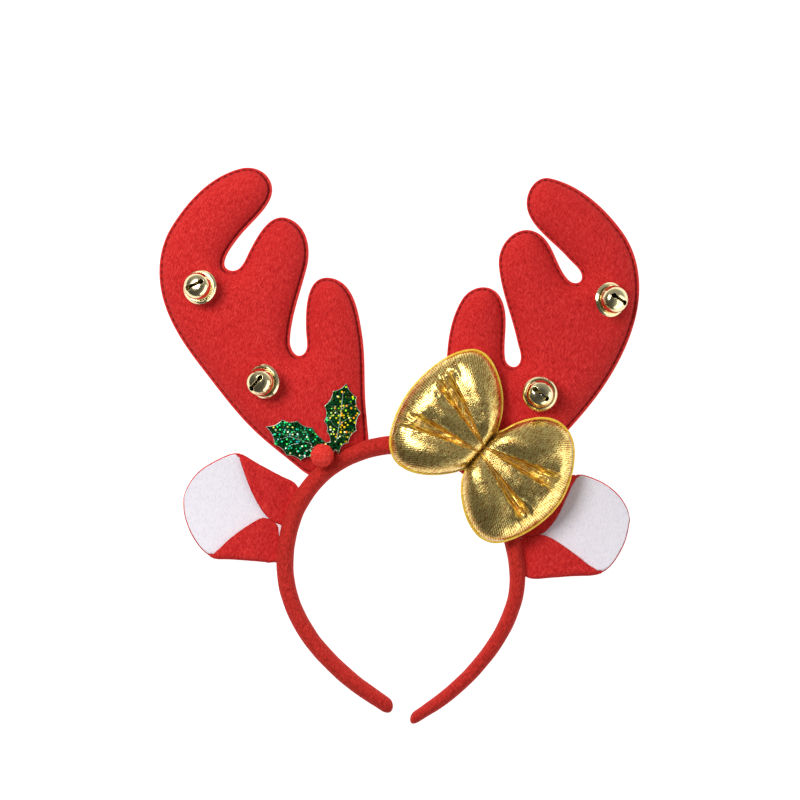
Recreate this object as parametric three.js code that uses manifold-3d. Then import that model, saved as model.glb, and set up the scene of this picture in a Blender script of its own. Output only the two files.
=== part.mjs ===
// A reindeer headband lying on its back, in millimetres, +Z up: a felt-covered hair band that carries two
// stuffed felt antlers, two folded felt ears, four bells, a holly sprig with a berry, and a stuffed bow.
// The head goes through the band along Z, and the antlers point along +Y.
import * as THREE from 'three';
import { mergeVertices } from 'three/addons/utils/BufferGeometryUtils.js';
import Module from 'manifold-3d';

const wasm = await Module();
wasm.setup();

const DEGREE = Math.PI / 180;

// Clearance between pieces that touch, and the thickness of the felt sheets.
const SEAT = 0.3;
const FELT = 1.2;

// Hair band: height from its back to its front edge, sides of its section, and steps along its length.
// Its ends are rounded off past the centre line, by shares of the section.
const BAND_HEIGHT = 12;
const BAND_SIDES = 12;
const BAND_STEPS = 44;
const BAND_BOXINESS = 0.75;
const BAND_TIP = [
  { beyond: 2.4, share: 0.8 },
  { beyond: 4, share: 0.35 },
];

// Centre line of the band from its left tip over the top of the head to its right tip.
const BAND_LINE = [
  { x: -7, y: -129.3, width: 8.6 },
  { x: -22, y: -119, width: 8.7 },
  { x: -34.6, y: -107.7, width: 8.7 },
  { x: -45.2, y: -95, width: 8.8 },
  { x: -53.2, y: -80, width: 8.9 },
  { x: -57, y: -63.5, width: 9 },
  { x: -56, y: -47, width: 9 },
  { x: -51, y: -31, width: 9.2 },
  { x: -40.8, y: -16.2, width: 9.4 },
  { x: -26, y: -5.6, width: 9.5 },
  { x: -6.3, y: 0.2, width: 9.5 },
  { x: 14, y: -1, width: 9.4 },
  { x: 33, y: -9.5, width: 9.2 },
  { x: 48, y: -27.3, width: 8.8 },
  { x: 56.5, y: -47.5, width: 8.5 },
  { x: 59.3, y: -67, width: 8.3 },
  { x: 56.8, y: -81, width: 8 },
  { x: 49.2, y: -97, width: 7.8 },
  { x: 36.5, y: -113.5, width: 7.5 },
  { x: 22.5, y: -126.2, width: 7.4 },
  { x: 9.3, y: -135.2, width: 7 },
];

// Antlers: front face of the stuffing, the sewn edge that stands out round it, and the roundness between.
const ANTLER_FRONT = 13;
const EDGE_LOW = 5.3;
const EDGE_HIGH = 7.3;
const ANTLER_ROUNDING = [
  { inset: 0, rise: 0 },
  { inset: 2.2, rise: 0 },
  { inset: 4, rise: 0.62 },
  { inset: 7.5, rise: 1 },
];
const LONGEST_STEP = 16;
const LARGEST_TURN = 24;

// Edges of the antlers, clockwise: a row for each bend, with its place and the heading of travel in degrees.
const LEFT_ANTLER = [
  { at: 'root, outer side', x: -38, y: -24, heading: 139 },
  { at: 'stem, outer side', x: -72.5, y: 7.5, heading: 136 },
  { at: 'stem, outer side', x: -98, y: 38, heading: 128 },
  { at: 'widest point', x: -119, y: 78, heading: 100 },
  { at: 'crown', x: -113.5, y: 109.5, heading: 58 },
  { at: 'long tine, top', x: -79.5, y: 138.3, heading: 15 },
  { at: 'long tine, end', x: -64.5, y: 132.5, heading: -63 },
  { at: 'long tine, lower side', x: -80, y: 104, heading: -128 },
  { at: 'upper notch', x: -84, y: 87.3, heading: -11 },
  { at: 'middle tine, upper side', x: -74, y: 98.5, heading: 62 },
  { at: 'middle tine, end', x: -55.5, y: 113.5, heading: -19 },
  { at: 'middle tine, lower side', x: -46, y: 89, heading: -104 },
  { at: 'lower notch, upper side', x: -54.5, y: 52.5, heading: -93 },
  { at: 'lower notch', x: -47.7, y: 45.6, heading: 42 },
  { at: 'short tine, upper side', x: -46.5, y: 57, heading: 92 },
  { at: 'short tine, end', x: -34.5, y: 83.8, heading: -8 },
  { at: 'short tine, inner side', x: -18.5, y: 56, heading: -81 },
  { at: 'stem, inner side', x: -16.5, y: 18, heading: -85 },
  { at: 'root, inner side', x: -14, y: -8, heading: -84 },
  { at: 'root, end', x: -26, y: -26, heading: -170 },
];
const RIGHT_ANTLER = [
  { at: 'root, inner side', x: 17, y: -14, heading: 92 },
  { at: 'stem, inner side', x: 21.5, y: 20, heading: 83 },
  { at: 'short tine, inner side', x: 24, y: 46, heading: 86 },
  { at: 'short tine, inner end', x: 31.5, y: 73, heading: 58 },
  { at: 'short tine, outer end', x: 50.3, y: 74.6, heading: -58 },
  { at: 'lower notch, lower side', x: 53, y: 43.3, heading: -83 },
  { at: 'lower notch', x: 60, y: 40.7, heading: 59 },
  { at: 'middle tine, lower side', x: 59, y: 52.3, heading: 102 },
  { at: 'middle tine, lower side', x: 49.8, y: 89.7, heading: 95 },
  { at: 'middle tine, end', x: 71, y: 105, heading: -39 },
  { at: 'upper notch, lower side', x: 84.8, y: 82.5, heading: -45 },
  { at: 'upper notch', x: 91.4, y: 84, heading: 92 },
  { at: 'long tine, lower side', x: 84.5, y: 93.5, heading: 131 },
  { at: 'long tine, end', x: 64, y: 124, heading: 78 },
  { at: 'long tine, top', x: 75.5, y: 133.5, heading: -13 },
  { at: 'crown', x: 111, y: 107.5, heading: -53 },
  { at: 'widest point', x: 118.7, y: 66, heading: -102 },
  { at: 'stem, outer side', x: 103.3, y: 31, heading: -123 },
  { at: 'stem, outer side', x: 86.3, y: 9.5, heading: -132 },
  { at: 'root, outer side', x: 48, y: -31, heading: -136 },
  { at: 'root, end', x: 30, y: -36, heading: 170 },
];

// Ears: felt leaves whose two sides are rolled forward and sewn down at the band, faced with a pale lining.
const EAR_BASE = 3.4;
const EAR_ROLL = 1.8;
const EAR_CUP = 1.6;
const EAR_EDGE_STEP = 0.5;
const LINING = 0.8;
const LINING_EDGE = 0.8;
const LINING_STEPS = 4;

// A row across each ear: distance from the band, reach of each side, and length of felt turned over there.
const LEFT_EAR = {
  x: -56.6, y: -39.8, heading: 164.6,
  rows: [
    { along: -6, upper: 18.5, upperTurn: 21, lower: 19.5, lowerTurn: 20 },
    { along: 3, upper: 21.5, upperTurn: 24, lower: 20.3, lowerTurn: 22.5 },
    { along: 10.5, upper: 23.6, upperTurn: 26.5, lower: 21.4, lowerTurn: 24.5 },
    { along: 17, upper: 25.2, upperTurn: 22.8, lower: 22.6, lowerTurn: 22.6 },
    { along: 23.5, upper: 26.9, upperTurn: 17.3, lower: 23.9, lowerTurn: 16.8 },
    { along: 27, upper: 27.8, upperTurn: 12.8, lower: 24.7, lowerTurn: 12.2 },
    { along: 30.5, upper: 28, upperTurn: 6.5, lower: 24.8, lowerTurn: 8 },
    { along: 35, upper: 27.2, upperTurn: 0, lower: 24, lowerTurn: 0 },
    { along: 42, upper: 22.5, upperTurn: 0, lower: 18.5, lowerTurn: 0 },
    { along: 46.5, upper: 18.2, upperTurn: 0, lower: 14, lowerTurn: 0 },
    { along: 50, upper: 12.6, upperTurn: 0, lower: 8.7, lowerTurn: 0 },
    { along: 52.5, upper: 4, upperTurn: 0, lower: 3.8, lowerTurn: 0 },
  ],
};
const RIGHT_EAR = {
  x: 58.9, y: -47.8, heading: 11,
  rows: [
    { along: -6, upper: 15, upperTurn: 18, lower: 17, lowerTurn: 15 },
    { along: 3, upper: 17.7, upperTurn: 22, lower: 19.2, lowerTurn: 18 },
    { along: 10.5, upper: 20.5, upperTurn: 23.8, lower: 20.7, lowerTurn: 19.4 },
    { along: 17, upper: 23.1, upperTurn: 24.5, lower: 21.6, lowerTurn: 18.8 },
    { along: 23.5, upper: 25, upperTurn: 20.8, lower: 22.4, lowerTurn: 15.6 },
    { along: 28, upper: 26.2, upperTurn: 16.5, lower: 22.9, lowerTurn: 12.6 },
    { along: 33.5, upper: 27.5, upperTurn: 12, lower: 23.5, lowerTurn: 7.5 },
    { along: 38, upper: 26.6, upperTurn: 7, lower: 23.4, lowerTurn: 0 },
    { along: 43, upper: 24, upperTurn: 0, lower: 21.4, lowerTurn: 0 },
    { along: 48.5, upper: 19.3, upperTurn: 0, lower: 16.7, lowerTurn: 0 },
    { along: 53.5, upper: 13.2, upperTurn: 0, lower: 10.6, lowerTurn: 0 },
    { along: 57, upper: 4.5, upperTurn: 0, lower: 3.6, lowerTurn: 0 },
  ],
};

// Bells: two pressed shells that meet at a rolled rim, with a dumb-bell slot in front and a loose pea inside.
const BELL_SHELL = 0.8;
const BELL_CUP_RADIUS = 6.4;
const BELL_CUP_EDGE = -8;
const BELL_DOME_RADIUS = 6.5;
const BELL_DOME_RISE = 3.5;
const BELL_FOOT = 0.5;
const BELL_FOOT_RISE = 1;
const BELL_SIDES = 16;
const BELL_ARC_STEPS = 4;
const SLOT_REACH = 3.6;
const SLOT_HOLE = 1.3;
const SLOT_WIDTH = 0.8;
const SLOT_SEGMENTS = 5;
const PEA = { radius: 2.4, sides: 8, rings: 6 };

// The cup's rolled rim, from its underside round to the groove that the dome stands in.
const BELL_RIM = [
  { radius: 8.3, height: -0.9 },
  { radius: 8.7, height: -0.4 },
  { radius: 8.7, height: 0.5 },
  { radius: 8.1, height: 0.9 },
  { radius: 7.3, height: 0 },
];

// Each bell's rim centre, the tilt of its axis towards a heading, its slot's angle, and where its pea lies.
const BELLS = [
  { x: -99.3, y: 79, tilt: 19, towards: 159, slot: 25, pea: 0 },
  { x: -67.6, y: 32, tilt: 27, towards: 195, slot: 48, pea: 0 },
  { x: 105.4, y: 72.7, tilt: 30, towards: 2, slot: -30, pea: 0 },
  { x: 70.2, y: 25.7, tilt: 2, towards: 0, slot: -39, pea: 1.4 },
];

// Holly: two leaves cut in one piece with a round bridge, each with pairs of spines along its midrib.
const HOLLY_THICK = 1;
const HOLLY_BRIDGE = { x: -33.8, y: -2, radius: 4.2, sides: 16 };
const HOLLY_SCALLOP = 0.74;
const HOLLY_SEGMENTS = 3;
const HOLLY_LEAVES = [
  { x: -30.5, y: -0.5, heading: 82.5, length: 31.5 },
  { x: -35.5, y: -1.5, heading: 160.5, length: 33 },
];
const HOLLY_SPINES = [
  { along: 0.09, side: 0.14 },
  { along: 0.31, side: 0.265 },
  { along: 0.57, side: 0.285 },
  { along: 0.81, side: 0.2 },
];

// Berry: a small pompom whose tufts stand out from its ball.
const BERRY = { x: -38.4, y: -5.2, radius: 5.4, sunk: 0.5, tuft: 0.7, detail: 3 };

// Bow: one stuffed pad pinched in the middle, with a sewn edge and two creases fanning out over each half.
const BOW = { x: 41.4, y: -0.3, heading: -39.9, edge: 18.4 };
const BOW_SEAM = 0.7;
const BOW_PLUMP = { flat: 2.3, round: 0.6 };
const BOW_CREASE_SLOPE = 0.33;
const BOW_CREASE_SPREAD = 0.16;
const BOW_FRONT_STEPS = 16;
const BOW_BACK_STEPS = 6;

// Half of the bow: distance from the waist, half width, stuffing in front and behind, depth of the creases.
const BOW_ROWS = [
  { along: 0, half: 11.5, front: 5, back: 4.4, crease: 0.35 },
  { along: 2.5, half: 18.5, front: 7, back: 5, crease: 0.5 },
  { along: 7, half: 24, front: 9.2, back: 5.1, crease: 0.52 },
  { along: 13, half: 29.5, front: 11, back: 5.1, crease: 0.5 },
  { along: 20, half: 34.3, front: 11.6, back: 5.1, crease: 0.42 },
  { along: 27, half: 36, front: 11.2, back: 5, crease: 0.28 },
  { along: 33, half: 34, front: 9.8, back: 4.6, crease: 0.1 },
  { along: 37.5, half: 29.3, front: 8, back: 4, crease: 0.05 },
  { along: 41.5, half: 22.5, front: 6, back: 3, crease: 0 },
  { along: 44.6, half: 14, front: 3.6, back: 1.8, crease: 0 },
  { along: 46.8, half: 5, front: 1.2, back: 0.6, crease: 0 },
];

const FELT_RED = new THREE.MeshStandardMaterial({ color: 0xca2b2a, roughness: 0.95, metalness: 0 });
const LINING_WHITE = new THREE.MeshStandardMaterial({ color: 0xece6ed, roughness: 0.95, metalness: 0 });
const BELL_BRASS = new THREE.MeshStandardMaterial({ color: 0xcdb878, roughness: 0.2, metalness: 1 });
const PEA_STEEL = new THREE.MeshStandardMaterial({ color: 0xb5ac98, roughness: 0.3, metalness: 1 });
const HOLLY_GREEN = new THREE.MeshStandardMaterial({ color: 0x14502a, roughness: 0.35, metalness: 0.5 });
const BERRY_RED = new THREE.MeshStandardMaterial({ color: 0xe53e35, roughness: 1, metalness: 0 });
const BOW_GOLD = new THREE.MeshStandardMaterial({ color: 0xc8a048, roughness: 0.35, metalness: 1 });

// Unit direction in the XY plane at a heading in degrees.
function direction(heading) {
  return new THREE.Vector2(Math.cos(heading * DEGREE), Math.sin(heading * DEGREE));
}

// The part of a geometry that shapes it: positions with shared corners merged.
function bare(geometry) {
  const shape = new THREE.BufferGeometry();
  shape.setAttribute('position', geometry.getAttribute('position'));
  shape.setIndex(geometry.getIndex());
  return mergeVertices(shape);
}

function toSolid(geometry) {
  const shape = bare(geometry);
  const vertProperties = new Float32Array(shape.getAttribute('position').array);
  const triVerts = new Uint32Array(shape.getIndex().array);
  return new wasm.Manifold(new wasm.Mesh({ numProp: 3, vertProperties, triVerts }));
}

function fromSolid(solid) {
  const mesh = solid.getMesh();
  const geometry = new THREE.BufferGeometry();
  geometry.setAttribute('position', new THREE.BufferAttribute(mesh.vertProperties, 3));
  geometry.setIndex(new THREE.BufferAttribute(mesh.triVerts, 1));
  return geometry;
}

function cut(geometry, cutter) {
  return fromSolid(toSolid(geometry).subtract(toSolid(cutter)));
}

function join(geometries) {
  const solids = geometries.map(toSolid);
  return fromSolid(solids.reduce((whole, solid) => whole.add(solid)));
}

function signedVolume(points, triangles) {
  const volume = (total, [a, b, c]) => {
    const normal = new THREE.Vector3().crossVectors(points[b], points[c]);
    return total + points[a].dot(normal) / 6;
  };
  return triangles.reduce(volume, 0);
}

// A closed geometry from points and triangles, turned so that its faces point out.
function closedGeometry(points, triangles) {
  const inward = signedVolume(points, triangles) < 0;
  const faces = triangles.map(([a, b, c]) => (inward ? [a, c, b] : [a, b, c]));
  const geometry = new THREE.BufferGeometry().setFromPoints(points);
  geometry.setIndex(faces.flat());
  return geometry;
}

// A skin through closed rings of equally many points, shut at both ends by the triangles given for a ring.
function skin(rings, cap) {
  const count = rings[0].length;
  const triangles = [];
  for (let ring = 0; ring + 1 < rings.length; ring += 1) {
    for (let k = 0; k < count; k += 1) {
      const a = ring * count + k;
      const b = ring * count + ((k + 1) % count);
      triangles.push([a, b, b + count], [a, b + count, a + count]);
    }
  }
  const last = (rings.length - 1) * count;
  cap.forEach(([a, b, c]) => triangles.push([a, c, b], [last + a, last + b, last + c]));
  return closedGeometry(rings.flat(), triangles);
}

function fan(count) {
  return Array.from({ length: count - 2 }, (_, k) => [0, k + 1, k + 2]);
}

// Length of a curve's handles, as a share of its chord, that makes it follow a circular arc of a given turn.
function arcHandle(turn) {
  return turn < 0.01 ? 1 / 3 : (2 / 3) * Math.tan(turn / 4) / Math.sin(turn / 2);
}

// Points of a closed edge through rows of place and heading, anticlockwise, each with its inward normal.
function bentEdge(rows) {
  const edge = rows.flatMap((row, index) => {
    const next = rows[(index + 1) % rows.length];
    const start = new THREE.Vector2(row.x, row.y);
    const end = new THREE.Vector2(next.x, next.y);
    const turn = Math.abs(THREE.MathUtils.euclideanModulo(next.heading - row.heading + 180, 360) - 180);
    const handle = start.distanceTo(end) * arcHandle(turn * DEGREE);
    const leave = direction(row.heading).multiplyScalar(handle).add(start);
    const arrive = direction(next.heading).multiplyScalar(-handle).add(end);
    const curve = new THREE.CubicBezierCurve(start, leave, arrive, end);
    const steps = Math.ceil(turn / LARGEST_TURN + curve.getLength() / LONGEST_STEP);
    return Array.from({ length: steps }, (_, k) => {
      const tangent = curve.getTangent(k / steps);
      return { point: curve.getPoint(k / steps), inward: new THREE.Vector2(tangent.y, -tangent.x) };
    });
  });
  return edge.reverse();
}

// The region inside the band's outer edge, as a tall prism that trims what is sewn to the band.
function bandPrism(line) {
  const outer = line.map(({ point, outward, width }) => {
    return new THREE.Vector2(point.x, point.y).addScaledVector(outward, width / 2 + SEAT);
  });
  const settings = { depth: 3 * ANTLER_FRONT, bevelEnabled: false };
  return new THREE.ExtrudeGeometry(new THREE.Shape(outer), settings).translate(0, 0, -ANTLER_FRONT);
}

// Stations along the band, evenly spaced, with its width and the direction away from the head.
function bandStations() {
  const curve = new THREE.CatmullRomCurve3(BAND_LINE.map(({ x, y }) => new THREE.Vector3(x, y, 0)));
  const widths = new THREE.SplineCurve(BAND_LINE.map(({ width }, k) => new THREE.Vector2(k, width)));
  return Array.from({ length: BAND_STEPS + 1 }, (_, k) => {
    const along = k / BAND_STEPS;
    const tangent = curve.getTangentAt(along);
    const outward = new THREE.Vector2(-tangent.y, tangent.x);
    const width = widths.getPoint(curve.getUtoTmapping(along)).y;
    return { point: curve.getPointAt(along), tangent, outward, width };
  });
}

function boxy(value) {
  return Math.sign(value) * Math.abs(value) ** BAND_BOXINESS;
}

// One rounded section of the band, grown by a share of its size and moved along the band.
function bandSection({ point, tangent, outward, width }, share, shift) {
  return Array.from({ length: BAND_SIDES }, (_, k) => {
    const angle = (2 * Math.PI * k) / BAND_SIDES;
    const across = boxy(Math.cos(angle)) * share * width / 2;
    const height = (1 + boxy(Math.sin(angle)) * share) * BAND_HEIGHT / 2;
    const x = point.x + outward.x * across + tangent.x * shift;
    const y = point.y + outward.y * across + tangent.y * shift;
    return new THREE.Vector3(x, y, height);
  });
}

function bandGeometry(line) {
  const first = line[0];
  const last = line[line.length - 1];
  const rings = [
    ...BAND_TIP.map(({ beyond, share }) => bandSection(first, share, -beyond)).reverse(),
    ...line.map((station) => bandSection(station, 1, 0)),
    ...BAND_TIP.map(({ beyond, share }) => bandSection(last, share, beyond)),
  ];
  return skin(rings, fan(BAND_SIDES));
}

// A stuffed antler: its edge drawn in step by step towards a flat back and a flat front.
function antlerGeometry(rows, trim) {
  const edge = bentEdge(rows);
  const ring = (inset, height) => edge.map(({ point, inward }) => {
    return new THREE.Vector3(point.x + inward.x * inset, point.y + inward.y * inset, height);
  });
  const back = ANTLER_ROUNDING.map(({ inset, rise }) => ring(inset, EDGE_LOW * (1 - rise)));
  const front = ANTLER_ROUNDING.map(({ inset, rise }) => {
    return ring(inset, EDGE_HIGH + (ANTLER_FRONT - EDGE_HIGH) * rise);
  });
  const rings = [...back.reverse(), ...front];
  const face = rings[0].map(({ x, y }) => new THREE.Vector2(x, y));
  return cut(skin(rings, THREE.ShapeUtils.triangulateShape(face, [])), trim);
}

// Half of an ear's section, from its middle out: flat, then rolled over, then lying back over itself.
// Its points of side and height are spread round the roll, or gathered at the edge where nothing is rolled.
function earHalf(reach, turned) {
  const angle = Math.min(Math.PI, turned / EAR_ROLL);
  const flat = reach - EAR_ROLL * Math.sin(Math.min(angle, Math.PI / 2));
  const arc = angle * EAR_ROLL;
  const flap = turned - arc;
  const round = [flat, flat + arc / 3, flat + 2 * arc / 3, flat + arc, flat + arc + flap / 2, flat + turned];
  const gathered = round.map((_, k) => flat + turned - (round.length - 1 - k) * EAR_EDGE_STEP);
  const weight = angle / Math.PI;
  const outer = round.map((distance, k) => distance * weight + gathered[k] * (1 - weight));
  return [0, outer[0] / 2, ...outer].map((travel) => {
    const turn = Math.min(Math.max(travel - flat, 0) / EAR_ROLL, angle);
    const straight = Math.max(travel - flat - arc, 0);
    const side = Math.min(travel, flat) + EAR_ROLL * Math.sin(turn) - straight;
    return new THREE.Vector2(side, EAR_ROLL * (1 - Math.cos(turn)));
  });
}

function earSection({ upper, upperTurn, lower, lowerTurn }) {
  const up = earHalf(upper, upperTurn);
  const down = earHalf(lower, lowerTurn).map(({ x, y }) => new THREE.Vector2(-x, y));
  return [...down.slice(1).reverse(), ...up];
}

// The lining's section: the part of the ear's face that lies flat, drawn in where the row before is rolled.
function liningSection({ upper, lower }, index, rows) {
  const { upperTurn, lowerTurn } = rows[Math.max(index - 1, 0)];
  const end = (reach, turned) => reach - Math.min(turned, EAR_ROLL) - LINING_EDGE;
  const from = -end(lower, lowerTurn);
  const to = end(upper, upperTurn);
  const height = FELT / 2 + SEAT + LINING / 2;
  return Array.from({ length: LINING_STEPS + 1 }, (_, k) => {
    return new THREE.Vector2(from + (to - from) * k / LINING_STEPS, height);
  });
}

// A sheet of even thickness whose middle passes through rows of points of side and height.
function sheetGeometry(rows, sections, thick) {
  const count = sections[0].length;
  const rings = rows.map(({ along, upper, lower }, index) => {
    const line = sections[index].map(({ x, y }) => {
      const reach = x > 0 ? upper : lower;
      return new THREE.Vector2(x, y + EAR_CUP * (x / reach) ** 2);
    });
    const offset = (share) => line.map((point, k) => {
      const before = line[Math.max(k - 1, 0)];
      const after = line[Math.min(k + 1, count - 1)];
      const run = after.clone().sub(before).normalize();
      return new THREE.Vector3(along, point.x - run.y * share * thick, point.y + run.x * share * thick);
    });
    return [...offset(-0.5), ...offset(0.5).reverse()];
  });
  const strip = Array.from({ length: count - 1 }, (_, k) => {
    const far = 2 * count - 1 - k;
    return [[k, k + 1, far], [k + 1, far - 1, far]];
  });
  return skin(rings, strip.flat());
}

function placeEar(geometry, ear) {
  const turn = new THREE.Matrix4().makeRotationZ(ear.heading * DEGREE);
  const mirror = new THREE.Matrix4().makeScale(1, Math.sign(Math.cos(ear.heading * DEGREE)), 1);
  const place = new THREE.Matrix4().makeTranslation(ear.x, ear.y, EAR_BASE + FELT / 2);
  const points = geometry.applyMatrix4(place.multiply(turn).multiply(mirror)).getAttribute('position');
  const corners = Array.from({ length: points.count }, (_, k) => {
    return new THREE.Vector3().fromBufferAttribute(points, k);
  });
  const index = geometry.getIndex().array;
  const triangles = Array.from({ length: index.length / 3 }, (_, k) => [...index.slice(3 * k, 3 * k + 3)]);
  return closedGeometry(corners, triangles);
}

function earGeometries(ear, trim) {
  const felt = sheetGeometry(ear.rows, ear.rows.map(earSection), FELT);
  const faced = ear.rows.map((row) => ({ ...row, along: row.along - LINING_EDGE }));
  const lining = sheetGeometry(faced, faced.map(liningSection), LINING);
  return [felt, lining].map((sheet) => cut(placeEar(sheet, ear), trim));
}

// Points of a quarter or part circle about a centre on the bell's axis, as radius and height.
function arcPoints(radius, centre, from, to, steps) {
  return Array.from({ length: steps + 1 }, (_, k) => {
    const angle = (from + (to - from) * k / steps) * DEGREE;
    return new THREE.Vector2(Math.max(radius * Math.cos(angle), 0), centre + radius * Math.sin(angle));
  });
}

function bellCupGeometry() {
  const inner = BELL_CUP_RADIUS - BELL_SHELL;
  const profile = [
    ...arcPoints(BELL_CUP_RADIUS, 0, -90, BELL_CUP_EDGE, BELL_ARC_STEPS),
    ...BELL_RIM.map(({ radius, height }) => new THREE.Vector2(radius, height)),
    ...arcPoints(inner, 0, 0, -90, BELL_ARC_STEPS),
  ];
  return bare(new THREE.LatheGeometry(profile, BELL_SIDES)).rotateX(Math.PI / 2);
}

// The slot: a bar with a round hole at each end, as a prism through the top of the front shell.
function slotPrism() {
  const side = Math.asin(SLOT_WIDTH / 2 / SLOT_HOLE);
  const slot = new THREE.Shape();
  slot.absarc(SLOT_REACH, 0, SLOT_HOLE, Math.PI + side, Math.PI - side, false);
  slot.absarc(-SLOT_REACH, 0, SLOT_HOLE, side, -side, false);
  const settings = { depth: BELL_DOME_RADIUS + SEAT, curveSegments: SLOT_SEGMENTS, bevelEnabled: false };
  return new THREE.ExtrudeGeometry(slot, settings).translate(0, 0, BELL_DOME_RISE);
}

function bellDomeGeometry() {
  const inner = BELL_DOME_RADIUS - BELL_SHELL;
  const profile = [
    new THREE.Vector2(inner, SEAT),
    new THREE.Vector2(BELL_DOME_RADIUS + BELL_FOOT, SEAT),
    new THREE.Vector2(BELL_DOME_RADIUS, BELL_FOOT_RISE),
    ...arcPoints(BELL_DOME_RADIUS, BELL_DOME_RISE, 0, 90, BELL_ARC_STEPS),
    ...arcPoints(inner, BELL_DOME_RISE, 90, 0, BELL_ARC_STEPS),
    new THREE.Vector2(inner, SEAT),
  ];
  const shell = bare(new THREE.LatheGeometry(profile, BELL_SIDES)).rotateX(Math.PI / 2);
  return cut(shell, slotPrism());
}

// A bell with its axis tilted, its slot turned, and its cup resting on the antler's front.
function bellGroup(bell, number) {
  const lean = direction(bell.towards).multiplyScalar(Math.sin(bell.tilt * DEGREE));
  const axis = new THREE.Vector3(lean.x, lean.y, Math.cos(bell.tilt * DEGREE));
  const group = new THREE.Group();
  group.position.set(bell.x, bell.y, ANTLER_FRONT + SEAT + BELL_CUP_RADIUS);
  group.quaternion.setFromUnitVectors(new THREE.Vector3(0, 0, 1), axis);
  const shells = new THREE.Group();
  shells.rotation.z = bell.slot * DEGREE;
  shells.add(piece(`bell_${number}_cup`, bellCupGeometry(), BELL_BRASS));
  shells.add(piece(`bell_${number}_dome`, bellDomeGeometry(), BELL_BRASS));
  const rolling = BELL_CUP_RADIUS - BELL_SHELL - SEAT - PEA.radius;
  const pea = new THREE.SphereGeometry(PEA.radius, PEA.sides, PEA.rings).rotateX(Math.PI / 2);
  pea.translate(bell.pea, 0, -Math.sqrt(rolling ** 2 - bell.pea ** 2));
  shells.add(piece(`bell_${number}_pea`, pea, PEA_STEEL));
  group.add(shells);
  return group;
}

// A holly leaf's outline: spines in pairs, joined by hollows drawn in towards the midrib.
function leafShape({ x, y, heading, length }) {
  const ahead = direction(heading);
  const place = (along, side) => {
    const across = new THREE.Vector2(-ahead.y, ahead.x).multiplyScalar(side * length);
    return new THREE.Vector2(x, y).addScaledVector(ahead, along * length).add(across);
  };
  const right = HOLLY_SPINES.map(({ along, side }) => ({ along, side: -side }));
  const left = HOLLY_SPINES.toReversed();
  const spines = [{ along: 0, side: 0 }, ...right, { along: 1, side: 0 }, ...left, { along: 0, side: 0 }];
  const shape = new THREE.Shape();
  spines.forEach(({ along, side }, k) => {
    const point = place(along, side);
    if (k === 0) {
      shape.moveTo(point.x, point.y);
      return;
    }
    const before = spines[k - 1];
    const hollow = place((along + before.along) / 2, (side + before.side) / 2 * HOLLY_SCALLOP);
    shape.quadraticCurveTo(hollow.x, hollow.y, point.x, point.y);
  });
  return shape;
}

function hollyGeometry() {
  const leaves = HOLLY_LEAVES.map((leaf) => {
    const settings = { depth: HOLLY_THICK, curveSegments: HOLLY_SEGMENTS, bevelEnabled: false };
    return new THREE.ExtrudeGeometry(leafShape(leaf), settings);
  });
  const { x, y, radius, sides } = HOLLY_BRIDGE;
  const bridge = new THREE.CylinderGeometry(radius, radius, HOLLY_THICK, sides);
  bridge.rotateX(Math.PI / 2).translate(x, y, HOLLY_THICK / 2);
  return join([...leaves, bridge]).translate(0, 0, ANTLER_FRONT + SEAT);
}

// The berry: a ball whose every other corner is drawn out into a tuft, flattened where it sits on the leaves.
function berryGeometry() {
  const ball = bare(new THREE.IcosahedronGeometry(BERRY.radius, BERRY.detail));
  const points = ball.getAttribute('position');
  const seat = ANTLER_FRONT + HOLLY_THICK + 2 * SEAT;
  for (let k = 0; k < points.count; k += 1) {
    const tuft = new THREE.Vector3().fromBufferAttribute(points, k);
    tuft.setLength(BERRY.radius + (k % 2 ? BERRY.tuft : 0));
    tuft.add(new THREE.Vector3(BERRY.x, BERRY.y, seat + BERRY.radius - BERRY.sunk));
    points.setXYZ(k, tuft.x, tuft.y, Math.max(tuft.z, seat));
  }
  return ball;
}

// How far the bow's face stands out of its edge plane at a share of its half width, before any crease.
function plump(share) {
  return Math.max(1 - Math.abs(share) ** BOW_PLUMP.flat, 0) ** BOW_PLUMP.round;
}

// One section across the bow: its creased front from side to side, then its back.
function bowSection(along, { half, front, back, crease }) {
  const valley = BOW_CREASE_SLOPE * Math.abs(along) / half;
  const dip = (share) => {
    const left = Math.exp(-(((share + valley) / BOW_CREASE_SPREAD) ** 2));
    const right = Math.exp(-(((share - valley) / BOW_CREASE_SPREAD) ** 2));
    return crease * Math.max(left, right);
  };
  const fronts = Array.from({ length: BOW_FRONT_STEPS + 1 }, (_, k) => {
    const share = Math.sin((k / BOW_FRONT_STEPS - 0.5) * Math.PI);
    const height = BOW_SEAM + front * plump(share) * (1 - dip(share));
    return new THREE.Vector3(along, share * half, height);
  });
  const backs = Array.from({ length: BOW_BACK_STEPS + 1 }, (_, k) => {
    const share = Math.cos((k / BOW_BACK_STEPS) * Math.PI);
    return new THREE.Vector3(along, share * half, -BOW_SEAM - back * plump(share));
  });
  return [...fronts, ...backs];
}

function bowGeometry() {
  const nearHalf = BOW_ROWS.slice(1).toReversed().map((row) => bowSection(-row.along, row));
  const farHalf = BOW_ROWS.map((row) => bowSection(row.along, row));
  const rings = [...nearHalf, ...farHalf];
  const seat = ANTLER_FRONT + SEAT - BOW.edge;
  rings.flat().forEach((point) => {
    point.z = Math.max(point.z, seat);
  });
  return skin(rings, fan(rings[0].length));
}

function piece(name, geometry, material) {
  const shape = bare(geometry);
  shape.computeVertexNormals();
  const mesh = new THREE.Mesh(shape, material);
  mesh.name = name;
  return mesh;
}

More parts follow.
